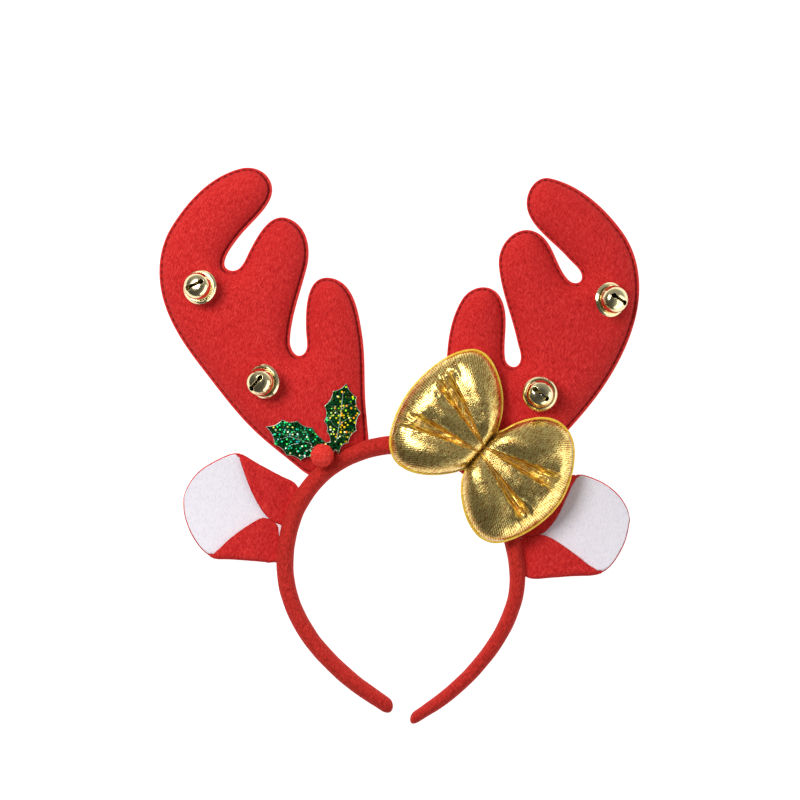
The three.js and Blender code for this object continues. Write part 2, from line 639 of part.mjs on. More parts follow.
function headband() {
  const line = bandStations();
  const trim = bandPrism(line);
  const group = new THREE.Group();
  group.add(piece('band', bandGeometry(line), FELT_RED));
  group.add(piece('antler_left', antlerGeometry(LEFT_ANTLER, trim), FELT_RED));
  group.add(piece('antler_right', antlerGeometry(RIGHT_ANTLER, trim), FELT_RED));
  Object.entries({ ear_left: LEFT_EAR, ear_right: RIGHT_EAR }).forEach(([name, ear]) => {
    const [felt, lining] = earGeometries(ear, trim);
    group.add(piece(name, felt, FELT_RED));
    group.add(piece(`${name}_lining`, lining, LINING_WHITE));
  });
  BELLS.forEach((bell, k) => group.add(bellGroup(bell, k + 1)));
  group.add(piece('holly', hollyGeometry(), HOLLY_GREEN));
  group.add(piece('berry', berryGeometry(), BERRY_RED));
  const bow = piece('bow', bowGeometry(), BOW_GOLD);
  bow.position.set(BOW.x, BOW.y, BOW.edge);
  bow.rotation.z = BOW.heading * DEGREE;
  group.add(bow);
  return group;
}

// The origin is put at the middle of the headband's box, on the surface that it lies on.
const part = headband();
const box = new THREE.Box3().setFromObject(part, true);
const middle = box.getCenter(new THREE.Vector3());
part.position.set(-middle.x, -middle.y, -box.min.z);
part.updateMatrixWorld(true);

export default part;
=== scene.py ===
# %% [markdown]
# # A reindeer headband, piece by piece
# The real headband is a plastic hair band in a felt sleeve. Sewn to it are two stuffed felt
# antlers, two folded ears, four bells, a glitter holly sprig with a pompom berry and a gold bow.
# It lies on its back and is seen from straight above: +Y is up in the picture, +Z comes towards us.
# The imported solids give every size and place, and each piece below is a finer one in their stead.

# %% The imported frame
import math
import random

import bmesh
import bpy
import numpy as np
from mathutils import Matrix, Vector, noise
from mathutils.bvhtree import BVHTree
from mathutils.geometry import delaunay_2d_cdt, interpolate_bezier


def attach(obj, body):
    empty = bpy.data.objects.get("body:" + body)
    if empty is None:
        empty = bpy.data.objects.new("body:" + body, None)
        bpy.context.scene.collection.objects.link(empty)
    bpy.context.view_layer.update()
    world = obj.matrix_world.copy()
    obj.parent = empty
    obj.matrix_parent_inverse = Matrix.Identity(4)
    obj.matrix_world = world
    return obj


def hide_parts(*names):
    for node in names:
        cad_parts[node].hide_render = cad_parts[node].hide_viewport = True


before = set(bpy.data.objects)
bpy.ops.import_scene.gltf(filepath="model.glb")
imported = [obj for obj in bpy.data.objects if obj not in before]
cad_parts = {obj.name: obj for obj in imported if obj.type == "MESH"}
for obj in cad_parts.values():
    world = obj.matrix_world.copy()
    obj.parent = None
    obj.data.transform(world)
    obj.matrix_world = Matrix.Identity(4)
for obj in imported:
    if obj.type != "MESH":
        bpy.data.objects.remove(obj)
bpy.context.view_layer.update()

# %% [markdown]
# ## Meshes from numbers
# Every piece starts as rows of points in the drawing's millimetres. They could be made with
# Blender's own primitives, but rows of points follow the drawing exactly and give clean grids.
# These helpers turn rows into objects, and draw smooth lines through a few measured places.

# %% Mesh helpers
MM = 0.001
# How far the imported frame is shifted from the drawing, in millimetres.
DRAWING = np.array((-0.078, 0.026, 0.0))
SHARP_ANGLE = math.radians(62)


def add_mesh(name, points, faces):
    """A new object from points in the drawing's millimetres, with its faces turned outwards."""
    mesh = bpy.data.meshes.new(name)
    placed = (np.asarray(points, float) + DRAWING) * MM
    mesh.from_pydata(placed.tolist(), [], faces)
    work = bmesh.new()
    work.from_mesh(mesh)
    bmesh.ops.recalc_face_normals(work, faces=work.faces[:])
    work.to_mesh(mesh)
    work.free()
    obj = bpy.data.objects.new(name, mesh)
    bpy.context.scene.collection.objects.link(obj)
    return obj


def quads(rings, sides):
    """Faces between closed rings of points that are numbered ring by ring."""
    faces = []
    for r in range(rings - 1):
        for c in range(sides):
            a, b = r * sides + c, r * sides + (c + 1) % sides
            faces.append((a, b, b + sides, a + sides))
    return faces


def tube(rings):
    """Points and faces of a skin through closed rings, shut by a face at each end."""
    rings = np.asarray(rings, float)
    count, sides = rings.shape[:2]
    ends = [tuple(range(sides)), tuple(range((count - 1) * sides, count * sides))]
    return rings.reshape(-1, 3), quads(count, sides) + ends


def loop_faces(rings, sides):
    """Faces of closed rings that follow each other round a loop."""
    count = rings * sides
    return [tuple(k % count for k in face) for face in quads(rings + 1, sides)]


def two_faced(flat, front, back, triangles, rim):
    """Points and faces of a flat cut at a front and a back height, joined round the rim."""
    count = len(flat)
    points = np.vstack([np.column_stack((flat, height)) for height in (front, back)])
    faces = triangles + [tuple(k + count for k in face[::-1]) for face in triangles]
    return points, faces + [(a, b, b + count, a + count) for a, b in zip(rim, rim[1:] + rim[:1])]


def joined(parts):
    """Several sets of points and faces as one."""
    points, faces, start = [], [], 0
    for more_points, more_faces in parts:
        points.append(np.asarray(more_points, float))
        faces += [tuple(start + k for k in face) for face in more_faces]
        start += len(more_points)
    return np.vstack(points), faces


def settle(obj):
    """Applies an object's modifiers to its mesh."""
    graph = bpy.context.evaluated_depsgraph_get()
    mesh = bpy.data.meshes.new_from_object(obj.evaluated_get(graph))
    obj.modifiers.clear()
    old, obj.data = obj.data, mesh
    bpy.data.meshes.remove(old)
    return obj


def refine(obj, levels):
    """Rounds a mesh off by dividing its faces a number of times."""
    fine = obj.modifiers.new("fine", "SUBSURF")
    fine.levels = fine.render_levels = levels
    return settle(obj)


def vertices_mm(obj):
    """An object's points in the drawing's millimetres."""
    spots = np.empty(len(obj.data.vertices) * 3)
    obj.data.vertices.foreach_get("co", spots)
    return spots.reshape(-1, 3) / MM - DRAWING


def move_vertices(obj, points):
    """Puts an object's points where the drawing's millimetres say."""
    obj.data.vertices.foreach_set("co", ((points + DRAWING) * MM).ravel())
    obj.data.update()


def mark(obj, name, values):
    """Keeps a number for each point of a mesh, for its finish to read."""
    obj.data.attributes.new(name, "FLOAT", "POINT").data.foreach_set("value", values)


def ground(objects):
    """The surface of some objects, to drop points onto."""
    parts = [(vertices_mm(obj), [p.vertices[:] for p in obj.data.polygons]) for obj in objects]
    points, faces = joined(parts)
    return BVHTree.FromPolygons([Vector(p) for p in points], faces)


def dress(obj, slot, *finishes, node=None):
    """Gives a piece its finishes, ties it to the frame and hides the solid it stands in for."""
    for finish in finishes:
        obj.data.materials.append(finish)
    obj.data.shade_smooth()
    obj.data.set_sharp_from_angle(angle=SHARP_ANGLE)
    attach(obj, "root")
    if node:
        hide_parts(node)
    print(f"{obj.name}: {len(obj.data.polygons)} faces")
    return obj


# %% Smooth lines
def spline(rows, steps):
    """Points of a smooth curve through rows of numbers, with some steps to each span."""
    rows = np.asarray(rows, float)
    ends = np.vstack((2 * rows[0] - rows[1], rows, 2 * rows[-1] - rows[-2]))
    share = np.linspace(0, 1, steps, endpoint=False)[:, None]
    spans = []
    for before, start, end, after in zip(ends, ends[1:], ends[2:], ends[3:]):
        lead = math.sqrt(np.linalg.norm(start - before))
        span = math.sqrt(np.linalg.norm(end - start))
        tail = math.sqrt(np.linalg.norm(after - end))
        chord = (end - start) / span
        leave = span * ((start - before) / lead - (end - before) / (lead + span) + chord)
        arrive = span * (chord - (after - start) / (span + tail) + (after - end) / tail)
        bend = 3 * (end - start) - 2 * leave - arrive
        twist = 2 * (start - end) + leave + arrive
        spans.append(start + share * leave + share**2 * bend + share**3 * twist)
    return np.vstack((*spans, rows[-1:]))


def evenly(line, spacing):
    """The same line with points an even distance apart, measured on its first two numbers."""
    steps = np.linalg.norm(np.diff(line[:, :2], axis=0), axis=1)
    run = np.concatenate(([0], np.cumsum(steps)))
    places = np.linspace(0, run[-1], max(2, round(run[-1] / spacing) + 1))
    return np.column_stack([np.interp(places, run, column) for column in line.T])


def unit(vectors):
    """The same directions, each one long."""
    return vectors / np.linalg.norm(vectors, axis=-1, keepdims=True)


def soft_step(value, low, high):
    """0 below low, 1 above high, and a smooth ramp between."""
    share = np.clip((value - low) / (high - low), 0, 1)
    return share * share * (3 - 2 * share)


def hump(value, middle, width):
    """1 at a middle value, falling smoothly to nothing on both sides."""
    return np.exp(-(((value - middle) / width) ** 2))


def turns(sides):
    """Angles evenly round a circle."""
    return np.linspace(0, 2 * math.pi, sides, endpoint=False)


# %% [markdown]
# ## Node trees as sums
# A material is a graph of nodes. Wiring it by hand is slow to read, so a small class wraps one
# output socket. Adding or multiplying two of them adds the Math node for us, and any other node
# comes from one method that takes its kind, its settings and the values of its sockets.

# %% The Wire class
class Wire:
    """One output socket of a node tree; arithmetic on it adds Math nodes."""

    def __init__(self, tree, socket=None):
        self.tree = tree
        self.socket = socket

    def node(self, kind, settings=None, inputs=None, out=0):
        """Adds a node of any kind, with its settings and inputs, and gives one of its outputs."""
        made = self.tree.nodes.new("ShaderNode" + kind)
        for name, value in (settings or {}).items():
            if name == "stops":
                self.stops(made.color_ramp, value)
            else:
                setattr(made, name, value)
        for name, value in (inputs or {}).items():
            if isinstance(value, Wire):
                self.tree.links.new(value.socket, made.inputs[name])
            else:
                made.inputs[name].default_value = value
        return Wire(self.tree, made.outputs[out])

    @staticmethod
    def stops(ramp, stops):
        """Sets a colour ramp's stops from places and colours."""
        while len(ramp.elements) < len(stops):
            ramp.elements.new(1.0)
        for element, (position, colour) in zip(ramp.elements, stops):
            element.position = position
            element.color = (*colour, 1.0)

    def math(self, operation, *values):
        """A Math node whose first number is this one."""
        return self.node("Math", {"operation": operation}, dict(enumerate((self, *values))))

    def __add__(self, other):
        return self.math("ADD", other)

    def __sub__(self, other):
        return self.math("SUBTRACT", other)

    def __rsub__(self, other):
        return self.math("MULTIPLY_ADD", -1.0, other)

    def __mul__(self, other):
        return self.math("MULTIPLY", other)

    __radd__, __rmul__ = __add__, __mul__

    def mix(self, without, within):
        """The first colour where this mask is 0, the second where it is 1."""
        colours = {0: self}
        for socket, colour in ((6, without), (7, within)):
            colours[socket] = colour if isinstance(colour, Wire) else (*colour, 1.0)
        return self.node("Mix", {"data_type": "RGBA"}, colours, out=2)

    def step(self, low, high):
        """This value's smooth ramp from 0 at low to 1 at high."""
        settings = {"interpolation_type": "SMOOTHSTEP"}
        return self.node("MapRange", settings, {"Value": self, "From Min": low, "From Max": high})


def linear(red, green, blue):
    """A colour picked on a screen, from 0 to 255, as the light values that shaders use."""
    shares = (value / 255 for value in (red, green, blue))
    return tuple(s / 12.92 if s <= 0.04045 else ((s + 0.055) / 1.055) ** 2.4 for s in shares)


def new_finish(name, **constants):
    """A new material's first wire, its shader, and the material itself."""
    material = bpy.data.materials.new(name)
    material.use_nodes = True
    tree = material.node_tree
    shader = tree.nodes["Principled BSDF"]
    for socket, value in constants.items():
        shader.inputs[socket.replace("_", " ")].default_value = value
    return Wire(tree), shader, material


def feed(wire, shader, **inputs):
    """Joins wires to a shader's sockets, such as Base_Color or Normal."""
    for socket, value in inputs.items():
        wire.tree.links.new(value.socket, shader.inputs[socket.replace("_", " ")])


NOISE_SPREAD = (0.3, 0.7)


def own_place(wire):
    """Where each point is in its piece's own frame, in metres."""
    return wire.node("TexCoord", out="Object")


def mottle(wire, place, scale, detail=2.0):
    """Plain noise with its fineness and detail; most of it lies inside NOISE_SPREAD."""
    return wire.node("TexNoise", {}, {"Vector": place, "Scale": scale, "Detail": detail})


def kept(wire, name):
    """The number that a mesh keeps for each of its points under a name."""
    return wire.node("Attribute", {"attribute_name": name}, out="Fac")


print("mid grey as light:", [round(value, 3) for value in linear(128, 128, 128)])

# %% [markdown]
# ## Studio
# The picture is taken from straight above with a long lens, so one pixel is half a millimetre all
# over. A floor that glows white stands in for a light table. A large soft lamp at the upper left
# makes the shadows, a wide low one at the right stands in for a white wall, and the sky darkens
# overhead and at the lower left so that the metal has contrast. The wall shows only in what
# shines and a weak fill lights the rest, because a wall that lit all would flatten the felt.

# %% Camera
CAMERA_OVER, CAMERA_HEIGHT = (0.0004, 0.0227), 5.0
FRAME_WIDTH, SENSOR_WIDTH = 0.4, 36
scene = bpy.context.scene
camera_data = bpy.data.cameras.new("camera")
camera_data.sensor_width = SENSOR_WIDTH
camera_data.lens = SENSOR_WIDTH * CAMERA_HEIGHT / FRAME_WIDTH
camera = bpy.data.objects.new("camera", camera_data)
camera.location = (*CAMERA_OVER, CAMERA_HEIGHT)
scene.collection.objects.link(camera)
scene.camera = camera
scene.view_settings.view_transform = "Standard"
print("lens:", round(camera_data.lens), "mm")

# %% Floor
FLOOR_REACH, FLOOR_DROP = 4000, 0.0003
FLOOR_TONES, FLOOR_GRAIN = (0.34, 0.36), 40.0
corners = [(-1, -1, 0), (1, -1, 0), (1, 1, 0), (-1, 1, 0)]
floor = add_mesh("floor", np.array(corners) * FLOOR_REACH, [(0, 1, 2, 3)])
floor.location.z = -FLOOR_DROP
wire, shader, pale_floor = new_finish(
    "pale floor", Roughness=0.9, Specular_IOR_Level=0.1, Emission_Strength=1.0
)
grain = wire.node("TexNoise", {}, {"Scale": FLOOR_GRAIN, "Detail": 2.0})
feed(wire, shader, Base_Color=grain.mix(*((tone,) * 3 for tone in FLOOR_TONES)))
shader.inputs["Emission Color"].default_value = (1, 1, 1, 1)
floor.data.materials.append(pale_floor)
print("floor:", FLOOR_REACH * 2 * MM, "m wide")

# %% Lamps and sky
LAMPS = {
    "key": {"at": (-0.5, 0.36, 0.92), "size": (0.5, 0.5), "watts": 9.3, "unseen": ()},
    "card": {"at": (1.05, -0.7, 0.52), "size": (2.4, 0.9), "watts": 13, "unseen": ("visible_diffuse",)},
    "fill": {"at": (0.75, 0.1, 0.95), "size": (1.0, 1.0), "watts": 2.2, "unseen": ("visible_glossy",)},
}
SKY = [(0.0, 0.44), (0.3, 0.38), (0.6, 0.33), (0.85, 0.22), (1.0, 0.06)]
DARK_SIDE = (-0.8, -0.6, 0.0)
SKY_ROUND = [(0.0, 1.0), (0.45, 1.0), (0.75, 0.35), (1.0, 0.15)]
for name, lamp in LAMPS.items():
    light = bpy.data.lights.new(name, "AREA")
    light.shape, light.energy = "RECTANGLE", lamp["watts"]
    light.size, light.size_y = lamp["size"]
    holder = bpy.data.objects.new(name, light)
    holder.location = lamp["at"]
    holder.rotation_euler = (-Vector(lamp["at"])).to_track_quat("-Z", "Y").to_euler()
    for rays in lamp["unseen"]:
        setattr(holder, rays, False)
    scene.collection.objects.link(holder)
scene.world = bpy.data.worlds.new("sky")
scene.world.use_nodes = True
sky = Wire(scene.world.node_tree)
where = sky.node("TexCoord", out="Generated")
height = sky.node("SeparateXYZ", {}, {0: where}, out=2)
darkness = sky.node("VectorMath", {"operation": "DOT_PRODUCT"}, {0: where, 1: DARK_SIDE}, out=1)
shades = [
    sky.node("ValToRGB", {"stops": [(share, (light,) * 3) for share, light in stops]}, {0: value})
    for stops, value in ((SKY, height), (SKY_ROUND, darkness * 0.5 + 0.5))
]
both = {"data_type": "RGBA", "blend_type": "MULTIPLY"}
shade = sky.node("Mix", both, {0: 1.0, 6: shades[0], 7: shades[1]}, out=2)
background = scene.world.node_tree.nodes["Background"]
scene.world.node_tree.links.new(shade.socket, background.inputs["Color"])
print("lamps:", ", ".join(LAMPS))

# %% [markdown]
# ## Felt
# Felt is a mat of tangled fibres with no weave. One noise would look like dust, so two noises are
# stretched into strands, turned against each other, and the stronger one wins at each place. They
# tint the colour, and raise the surface through a bump so that the nap catches the light.

# %% Felt finish
# Each noise's turn in radians, and how fine it is along and across its strands.
STRANDS = ((1.2, 480.0, 2000.0), (1.95, 430.0, 1800.0))
TUFTS, NAP_SHARE, TUFT_SHARE = 650.0, 0.9, 0.2
FELT_TONES = (0.44, 0.59, 0.76)
# How far the painted highlight on the rim goes towards the bright tone.
RIM_HIGHLIGHT = 0.6
NAP_BUMP = {"Strength": 0.55, "Distance": 0.0004}


def strands(wire, place, turn, along, across):
    """Noise drawn out into strands at an angle in the plane of the felt."""
    turned = wire.node("VectorRotate", {"rotation_type": "Z_AXIS"}, {"Vector": place, "Angle": turn})
    stretch = {"vector_type": "POINT"}
    drawn = wire.node("Mapping", stretch, {"Vector": turned, "Scale": (along, across, across)})
    return wire.node("TexNoise", {}, {"Vector": drawn, "Scale": 1.0, "Detail": 3.0, "Distortion": 0.6})


def felt_finish(name, deep, middle, bright, sheen, groove=None):
    """Felt in three tones; a shade colour adds painted shade in the seam groove and a painted rim highlight.
    """
    wire, shader, material = new_finish(
        name, Roughness=0.92, Specular_IOR_Level=0.12, Sheen_Weight=0.18, Sheen_Roughness=0.45,
    )
    shader.inputs["Sheen Tint"].default_value = (*sheen, 1.0)
    place = own_place(wire)
    first, second = (strands(wire, place, *strand) for strand in STRANDS)
    nap = first.math("MAXIMUM", second)
    tone = nap * NAP_SHARE + mottle(wire, place, TUFTS) * TUFT_SHARE
    stops = list(zip(FELT_TONES, (deep, middle, bright)))
    colour = wire.node("ValToRGB", {"stops": stops}, {0: tone})
    if groove:
        # Painted shade darkens the seam groove, and a painted highlight lights the rim outside it.
        sunk, rim = kept(wire, "groove"), kept(wire, "rim")
        colour = (rim * RIM_HIGHLIGHT).mix(sunk.mix(colour, groove), bright)
    raised = wire.node("Bump", {}, {"Height": nap, **NAP_BUMP})
    feed(wire, shader, Base_Color=colour, Normal=raised)
    return material


red_felt = felt_finish(
    "red felt", linear(178, 28, 29), linear(212, 42, 41), linear(236, 70, 64), linear(255, 120, 110),
    groove=linear(120, 12, 18),
)
band_felt = felt_finish(
    "band felt", linear(152, 31, 26), linear(198, 45, 38), linear(228, 64, 54), linear(255, 120, 100)
)
white_felt = felt_finish(
    "white felt", linear(238, 231, 243), linear(250, 245, 253), linear(255, 253, 255), (1, 1, 1)
)
print("felts:", red_felt.name, band_felt.name, white_felt.name)

# %% [markdown]
# ## Hair band
# The band is an open loop of springy plastic about 9 mm wide in a glued felt sleeve. A curve with a
# bevel would make it too, but a skin through rounded sections also tapers it towards the tips and
# leaves room for the sleeve's seam on the side that faces the head.

# %% Band
SEAT = 0.3
TUCK = 1.0
BAND_HEIGHT = 12
BAND_SIDES = 36
BAND_BOXINESS = 0.95
BAND_TIP, BAND_LEAN, TIP_BLUNT = 5.2, 0.7, 1.003
BAND_SLACK = 0.35
SLEEVE_SEAM, SLEEVE_SEAM_WIDE = 0.3, 0.14
LUMP, LUMP_LONG, LUMP_WAYS, LUMP_SEED = 0.16, 7, (1, 1, 0.5), 5
BAND_STEPS, BAND_SPACING = 40, 1.2
# The middle of the band from tip to tip, with its width.
BAND_LINE = [
    (-7.5, -129, 8), (-22, -119, 8.7), (-34.6, -107.7, 8.7), (-45.2, -95, 8.8), (-53.2, -80, 8.9),
    (-57, -63.5, 9), (-56, -47, 9), (-51, -31, 9.2), (-40.8, -16.2, 9.4), (-26, -5.6, 9.5),
    (-6.3, 0.2, 9.5), (14, -1, 9.4), (33, -9.5, 9.2), (48, -27.3, 8.8), (56.5, -47.5, 8.5),
    (59.3, -67, 8.3), (56.8, -81, 8), (49.2, -97, 7.8), (36.5, -113.5, 7.4), (22.5, -126.2, 7.1),
    (9.8, -134.9, 6.2),
]
band_line = evenly(spline(BAND_LINE, BAND_STEPS), BAND_SPACING)
band_along = unit(np.gradient(band_line[:, :2], axis=0))
band_out = np.column_stack((-band_along[:, 1], band_along[:, 0]))
band_edge = band_line[:, :2] + band_out * (band_line[:, 2:] / 2 - TUCK)


def boxed(wave):
    """A circle's wave made a little squarer or sharper."""
    return np.sign(wave) * np.abs(wave) ** BAND_BOXINESS


def band_ring(k, share, beyond):
    """A rounded section of the band at a station, or beyond it where a tip narrows and leans out."""
    x, y, width = band_line[k]
    angle = turns(BAND_SIDES)
    seam = SLEEVE_SEAM * hump(angle, math.pi, SLEEVE_SEAM_WIDE)
    lean = BAND_LEAN * (beyond / BAND_TIP) ** 2
    across = (boxed(np.cos(angle)) * (width / 2 - BAND_SLACK) - seam) * share + lean
    up = (1 + boxed(np.sin(angle)) * share) * BAND_HEIGHT / 2
    flat = (x, y) + band_out[k] * across[:, None] + band_along[k] * beyond
    return np.column_stack((flat, up))


tips = np.sin(np.linspace(0.1, 1, 10) * math.pi / 2)
start = [band_ring(0, math.sqrt(TIP_BLUNT - t * t), -BAND_TIP * t) for t in tips[::-1]]
middle = [band_ring(k, 1, 0) for k in range(len(band_line))]
end = [band_ring(-1, math.sqrt(TIP_BLUNT - t * t), BAND_TIP * t) for t in tips]
points, faces = tube(start + middle + end)
noise.seed_set(LUMP_SEED)
for point in points:
    point += LUMP * np.array(noise.noise_vector(Vector(point) / LUMP_LONG)) * LUMP_WAYS
points[:, 2] = np.clip(points[:, 2], 0, None)
band = dress(add_mesh("band_sleeve", points, faces), "felt", band_felt, node="band")

# %% [markdown]
# ## Antlers
# Each antler is two pieces of felt sewn together near the edge and stuffed. A subdivided solid would
# look hard, so the two sheets are cut from the same edge as the drawing, joined at the rim, pinned
# at the seam and blown up as cloth. What the pressure does is capped, so the antler keeps its size.

# %% Antler edges
EDGE_STEP, ARC_POINTS = 0.5, 50
# Places round each edge, with the edge's heading there in degrees.
LEFT_ANTLER = [
    (-41, -15.8, 180), (-50.5, -11, 140), (-72.5, 7.5, 136), (-98, 38, 128), (-119, 78, 100),
    (-113.5, 109.5, 58), (-79.5, 138.3, 15), (-64.5, 132.5, -63), (-80, 104, -128), (-84, 87.3, -11),
    (-74, 98.5, 62), (-55.5, 113.5, -19), (-46, 89, -104), (-54.5, 52.5, -93), (-47.7, 45.6, 42),
    (-46.5, 57, 92), (-34.5, 83.8, -8), (-18.5, 56, -81), (-16.5, 18, -85), (-14, -8, -84),
    (-26, -26, -170),
]
RIGHT_ANTLER = [
    (17, -14, 92), (21.5, 20, 83), (24, 46, 86), (31.5, 73, 58), (50.3, 74.6, -58),
    (53, 43.3, -83), (60, 40.7, 59), (59, 52.3, 102), (49.8, 89.7, 95), (71, 105, -39),
    (84.8, 82.5, -45), (91.4, 84, 92), (84.5, 93.5, 131), (64, 124, 78), (75.5, 133.5, -13),
    (111, 107.5, -53), (118.7, 66, -102), (103.3, 31, -123), (86.3, 9.5, -132), (48, -31, -136),
    (30, -36, 170),
]


def heading_vector(heading):
    """A direction in the picture, from degrees."""
    angle = math.radians(heading)
    return Vector((math.cos(angle), math.sin(angle), 0))


def bent_edge(rows, spacing):
    """A closed edge of arcs through rows of place and heading, its points evenly apart."""
    points = []
    for (x, y, heading), (next_x, next_y, next_heading) in zip(rows, rows[1:] + rows[:1]):
        start, end = Vector((x, y, 0)), Vector((next_x, next_y, 0))
        turn = abs(math.radians((next_heading - heading + 180) % 360 - 180))
        share = 2 / 3 * math.tan(turn / 4) / math.sin(turn / 2) if turn > 0.01 else 1 / 3
        reach = share * (end - start).length
        leave = start + reach * heading_vector(heading)
        arrive = end - reach * heading_vector(next_heading)
        points += [p[:2] for p in interpolate_bezier(start, leave, arrive, end, ARC_POINTS)[:-1]]
    return evenly(np.array(points + points[:1]), spacing)[:-1]


def in_polygon(points, polygon):
    """Which points lie inside a closed line."""
    x, y = points[:, 0, None], points[:, 1, None]
    ax, ay = polygon.T
    bx, by = np.roll(polygon, -1, axis=0).T
    crosses = (ay > y) != (by > y)
    rise = np.where(by == ay, 1, by - ay)
    return (crosses & (x < (bx - ax) * (y - ay) / rise + ax)).sum(axis=1) % 2 == 1


def nearest(points, line):
    """Each point's distance to the nearest point of a line, and that point's number."""
    apart = np.linalg.norm(points[:, None, :2] - line[None, :, :2], axis=2)
    return apart.min(axis=1), apart.argmin(axis=1)


def antler_outline(rows):
    """The sewn part of an antler's edge, clockwise, and its root along the band."""
    edge = bent_edge(rows, EDGE_STEP)
    free = ~in_polygon(edge, band_edge)
    first = np.flatnonzero(free & ~np.roll(free, 1))[0]
    sewn = np.roll(edge, -first, axis=0)[: free.sum()]
    ends = nearest(sewn[[-1, 0]], band_edge)[1]
    return sewn, band_edge[ends[0] - 1 : ends[1] : -1]


outlines = {"left": antler_outline(LEFT_ANTLER), "right": antler_outline(RIGHT_ANTLER)}
for side, (sewn, root) in outlines.items():
    print(side, "antler: sewn edge", round(len(sewn) * EDGE_STEP), "mm, root", len(root), "points")

# %% Sheets between the edges
SEAM, SEAM_LEFT = 1.75, 1.3
SEAM_WIDE_SIDE, WIDE_ENDS = np.array((0.9, -0.44)), (-0.5, 0.5)
RINGS = (0.5, 1.0, SEAM, 2.5, 3.6, 5.1, 6.9)
CLOSE_RINGS, CLOSE_EVERY, FAR_EVERY = 5, 3, 4
RING_SLIP, RING_ROOT_GAP = 0.1, 0.8
LATTICE, LATTICE_ROW = 2.7, 0.866
LATTICE_GAP, LATTICE_ROOT_GAP = 1.3, 1.4
SAME_POINT = 1e-4


def inward(sewn):
    """Unit vectors from a clockwise edge into the felt."""
    along = unit(np.gradient(sewn, axis=0))
    return np.column_stack((along[:, 1], -along[:, 0]))


def wide_side(sewn):
    """Share by which each place of an edge faces the side where the most of the seam shows."""
    return soft_step(-inward(sewn) @ SEAM_WIDE_SIDE, *WIDE_ENDS)


def seam_inset(sewn):
    """How far in the seam lies along an edge: the pads are turned a little, so less on the left."""
    return SEAM_LEFT + (SEAM - SEAM_LEFT) * wide_side(sewn)


def sewn_depth(points, sewn):
    """Distance in from the edge, scaled to make the seam SEAM deep, and the nearest edge point."""
    depth, number = nearest(points, sewn)
    seam = seam_inset(sewn)[number]
    return np.where(depth < seam, depth * SEAM / seam, depth + SEAM - seam), number


def filled(outline, inside):
    """Points and triangles that fill a closed line, and the numbers of the line's own points."""
    places = [Vector(p) for p in np.vstack((outline, inside))]
    rim = list(range(len(outline)))
    made = delaunay_2d_cdt(places, [], [rim], 1, SAME_POINT)
    flat, triangles, origin = np.array([p[:] for p in made[0]]), made[2], made[3]
    number = {old: new for new, olds in enumerate(origin) for old in olds}
    return flat, [tuple(face) for face in triangles], [number[k] for k in rim]


def felt_sheet(sewn, root):
    """Points and triangles that fill an antler's outline, closer together near its edge."""
    outline = np.vstack((sewn[::CLOSE_EVERY], root))
    layers = []
    for inset in RINGS:
        scaled = seam_inset(sewn) + (inset - SEAM if inset > SEAM else 0)
        scaled = (scaled * min(inset / SEAM, 1))[:, None]
        ring = (sewn + inward(sewn) * scaled)[:: CLOSE_EVERY if inset < CLOSE_RINGS else FAR_EVERY]
        clear = sewn_depth(ring, sewn)[0] > inset - RING_SLIP
        clear &= nearest(ring, root)[0] > RING_ROOT_GAP
        layers.append(ring[clear & in_polygon(ring, outline)])
    low, high = outline.min(axis=0), outline.max(axis=0)
    columns = np.arange(low[0], high[0], LATTICE)
    rows = np.arange(low[1], high[1], LATTICE * LATTICE_ROW)
    spots = np.array([(x + LATTICE / 2 * (k % 2), y) for k, y in enumerate(rows) for x in columns])
    spots = spots[in_polygon(spots, outline)]
    clear = nearest(spots, sewn)[0] > RINGS[-1] + LATTICE_GAP
    clear &= nearest(spots, root)[0] > LATTICE_ROOT_GAP
    return filled(outline, np.vstack((*layers, spots[clear])))


# %% Stuffing by pressure
EDGE_LOW, EDGE_HIGH, PAD_FRONT = 3.4, 5.4, 13.0
PAD_ROUND, PAD_CROWN = 14.0, 0.4
PAD_SLACK = 0.98
ROOT_RISE, ROOT_LONG = 0.62, 9
# How far the thread pulls each sheet in, against the distance in from the edge.
SEAM_PULL = ((0, 0.4), (0.5, 0), (1, 0.15), (SEAM, 0.95))
HELD_SEAM, HELD_ROOT = 0.1, 0.3
PRESSURE, PAD_CAP = 4.0, 2.6
STUFFING_FRAMES = 20


def pad_heights(flat, sewn, root, fullness):
    """Heights of an antler's front and back over its flat cut, stuffed to a share of full."""
    depth = sewn_depth(flat, sewn)[0]
    share = np.clip((depth - SEAM) / PAD_ROUND, 0, 1)
    from_root = ROOT_RISE + (1 - ROOT_RISE) * soft_step(nearest(flat, root)[0], 0, ROOT_LONG)
    rise = np.sqrt(1 - (1 - share) ** 2) * from_root
    pull = np.interp(depth, *zip(*SEAM_PULL))
    front = EDGE_HIGH - pull + (PAD_FRONT - EDGE_HIGH + pull) * rise * fullness
    back = EDGE_LOW + pull - (EDGE_LOW + pull) * rise * fullness
    return front, back, depth


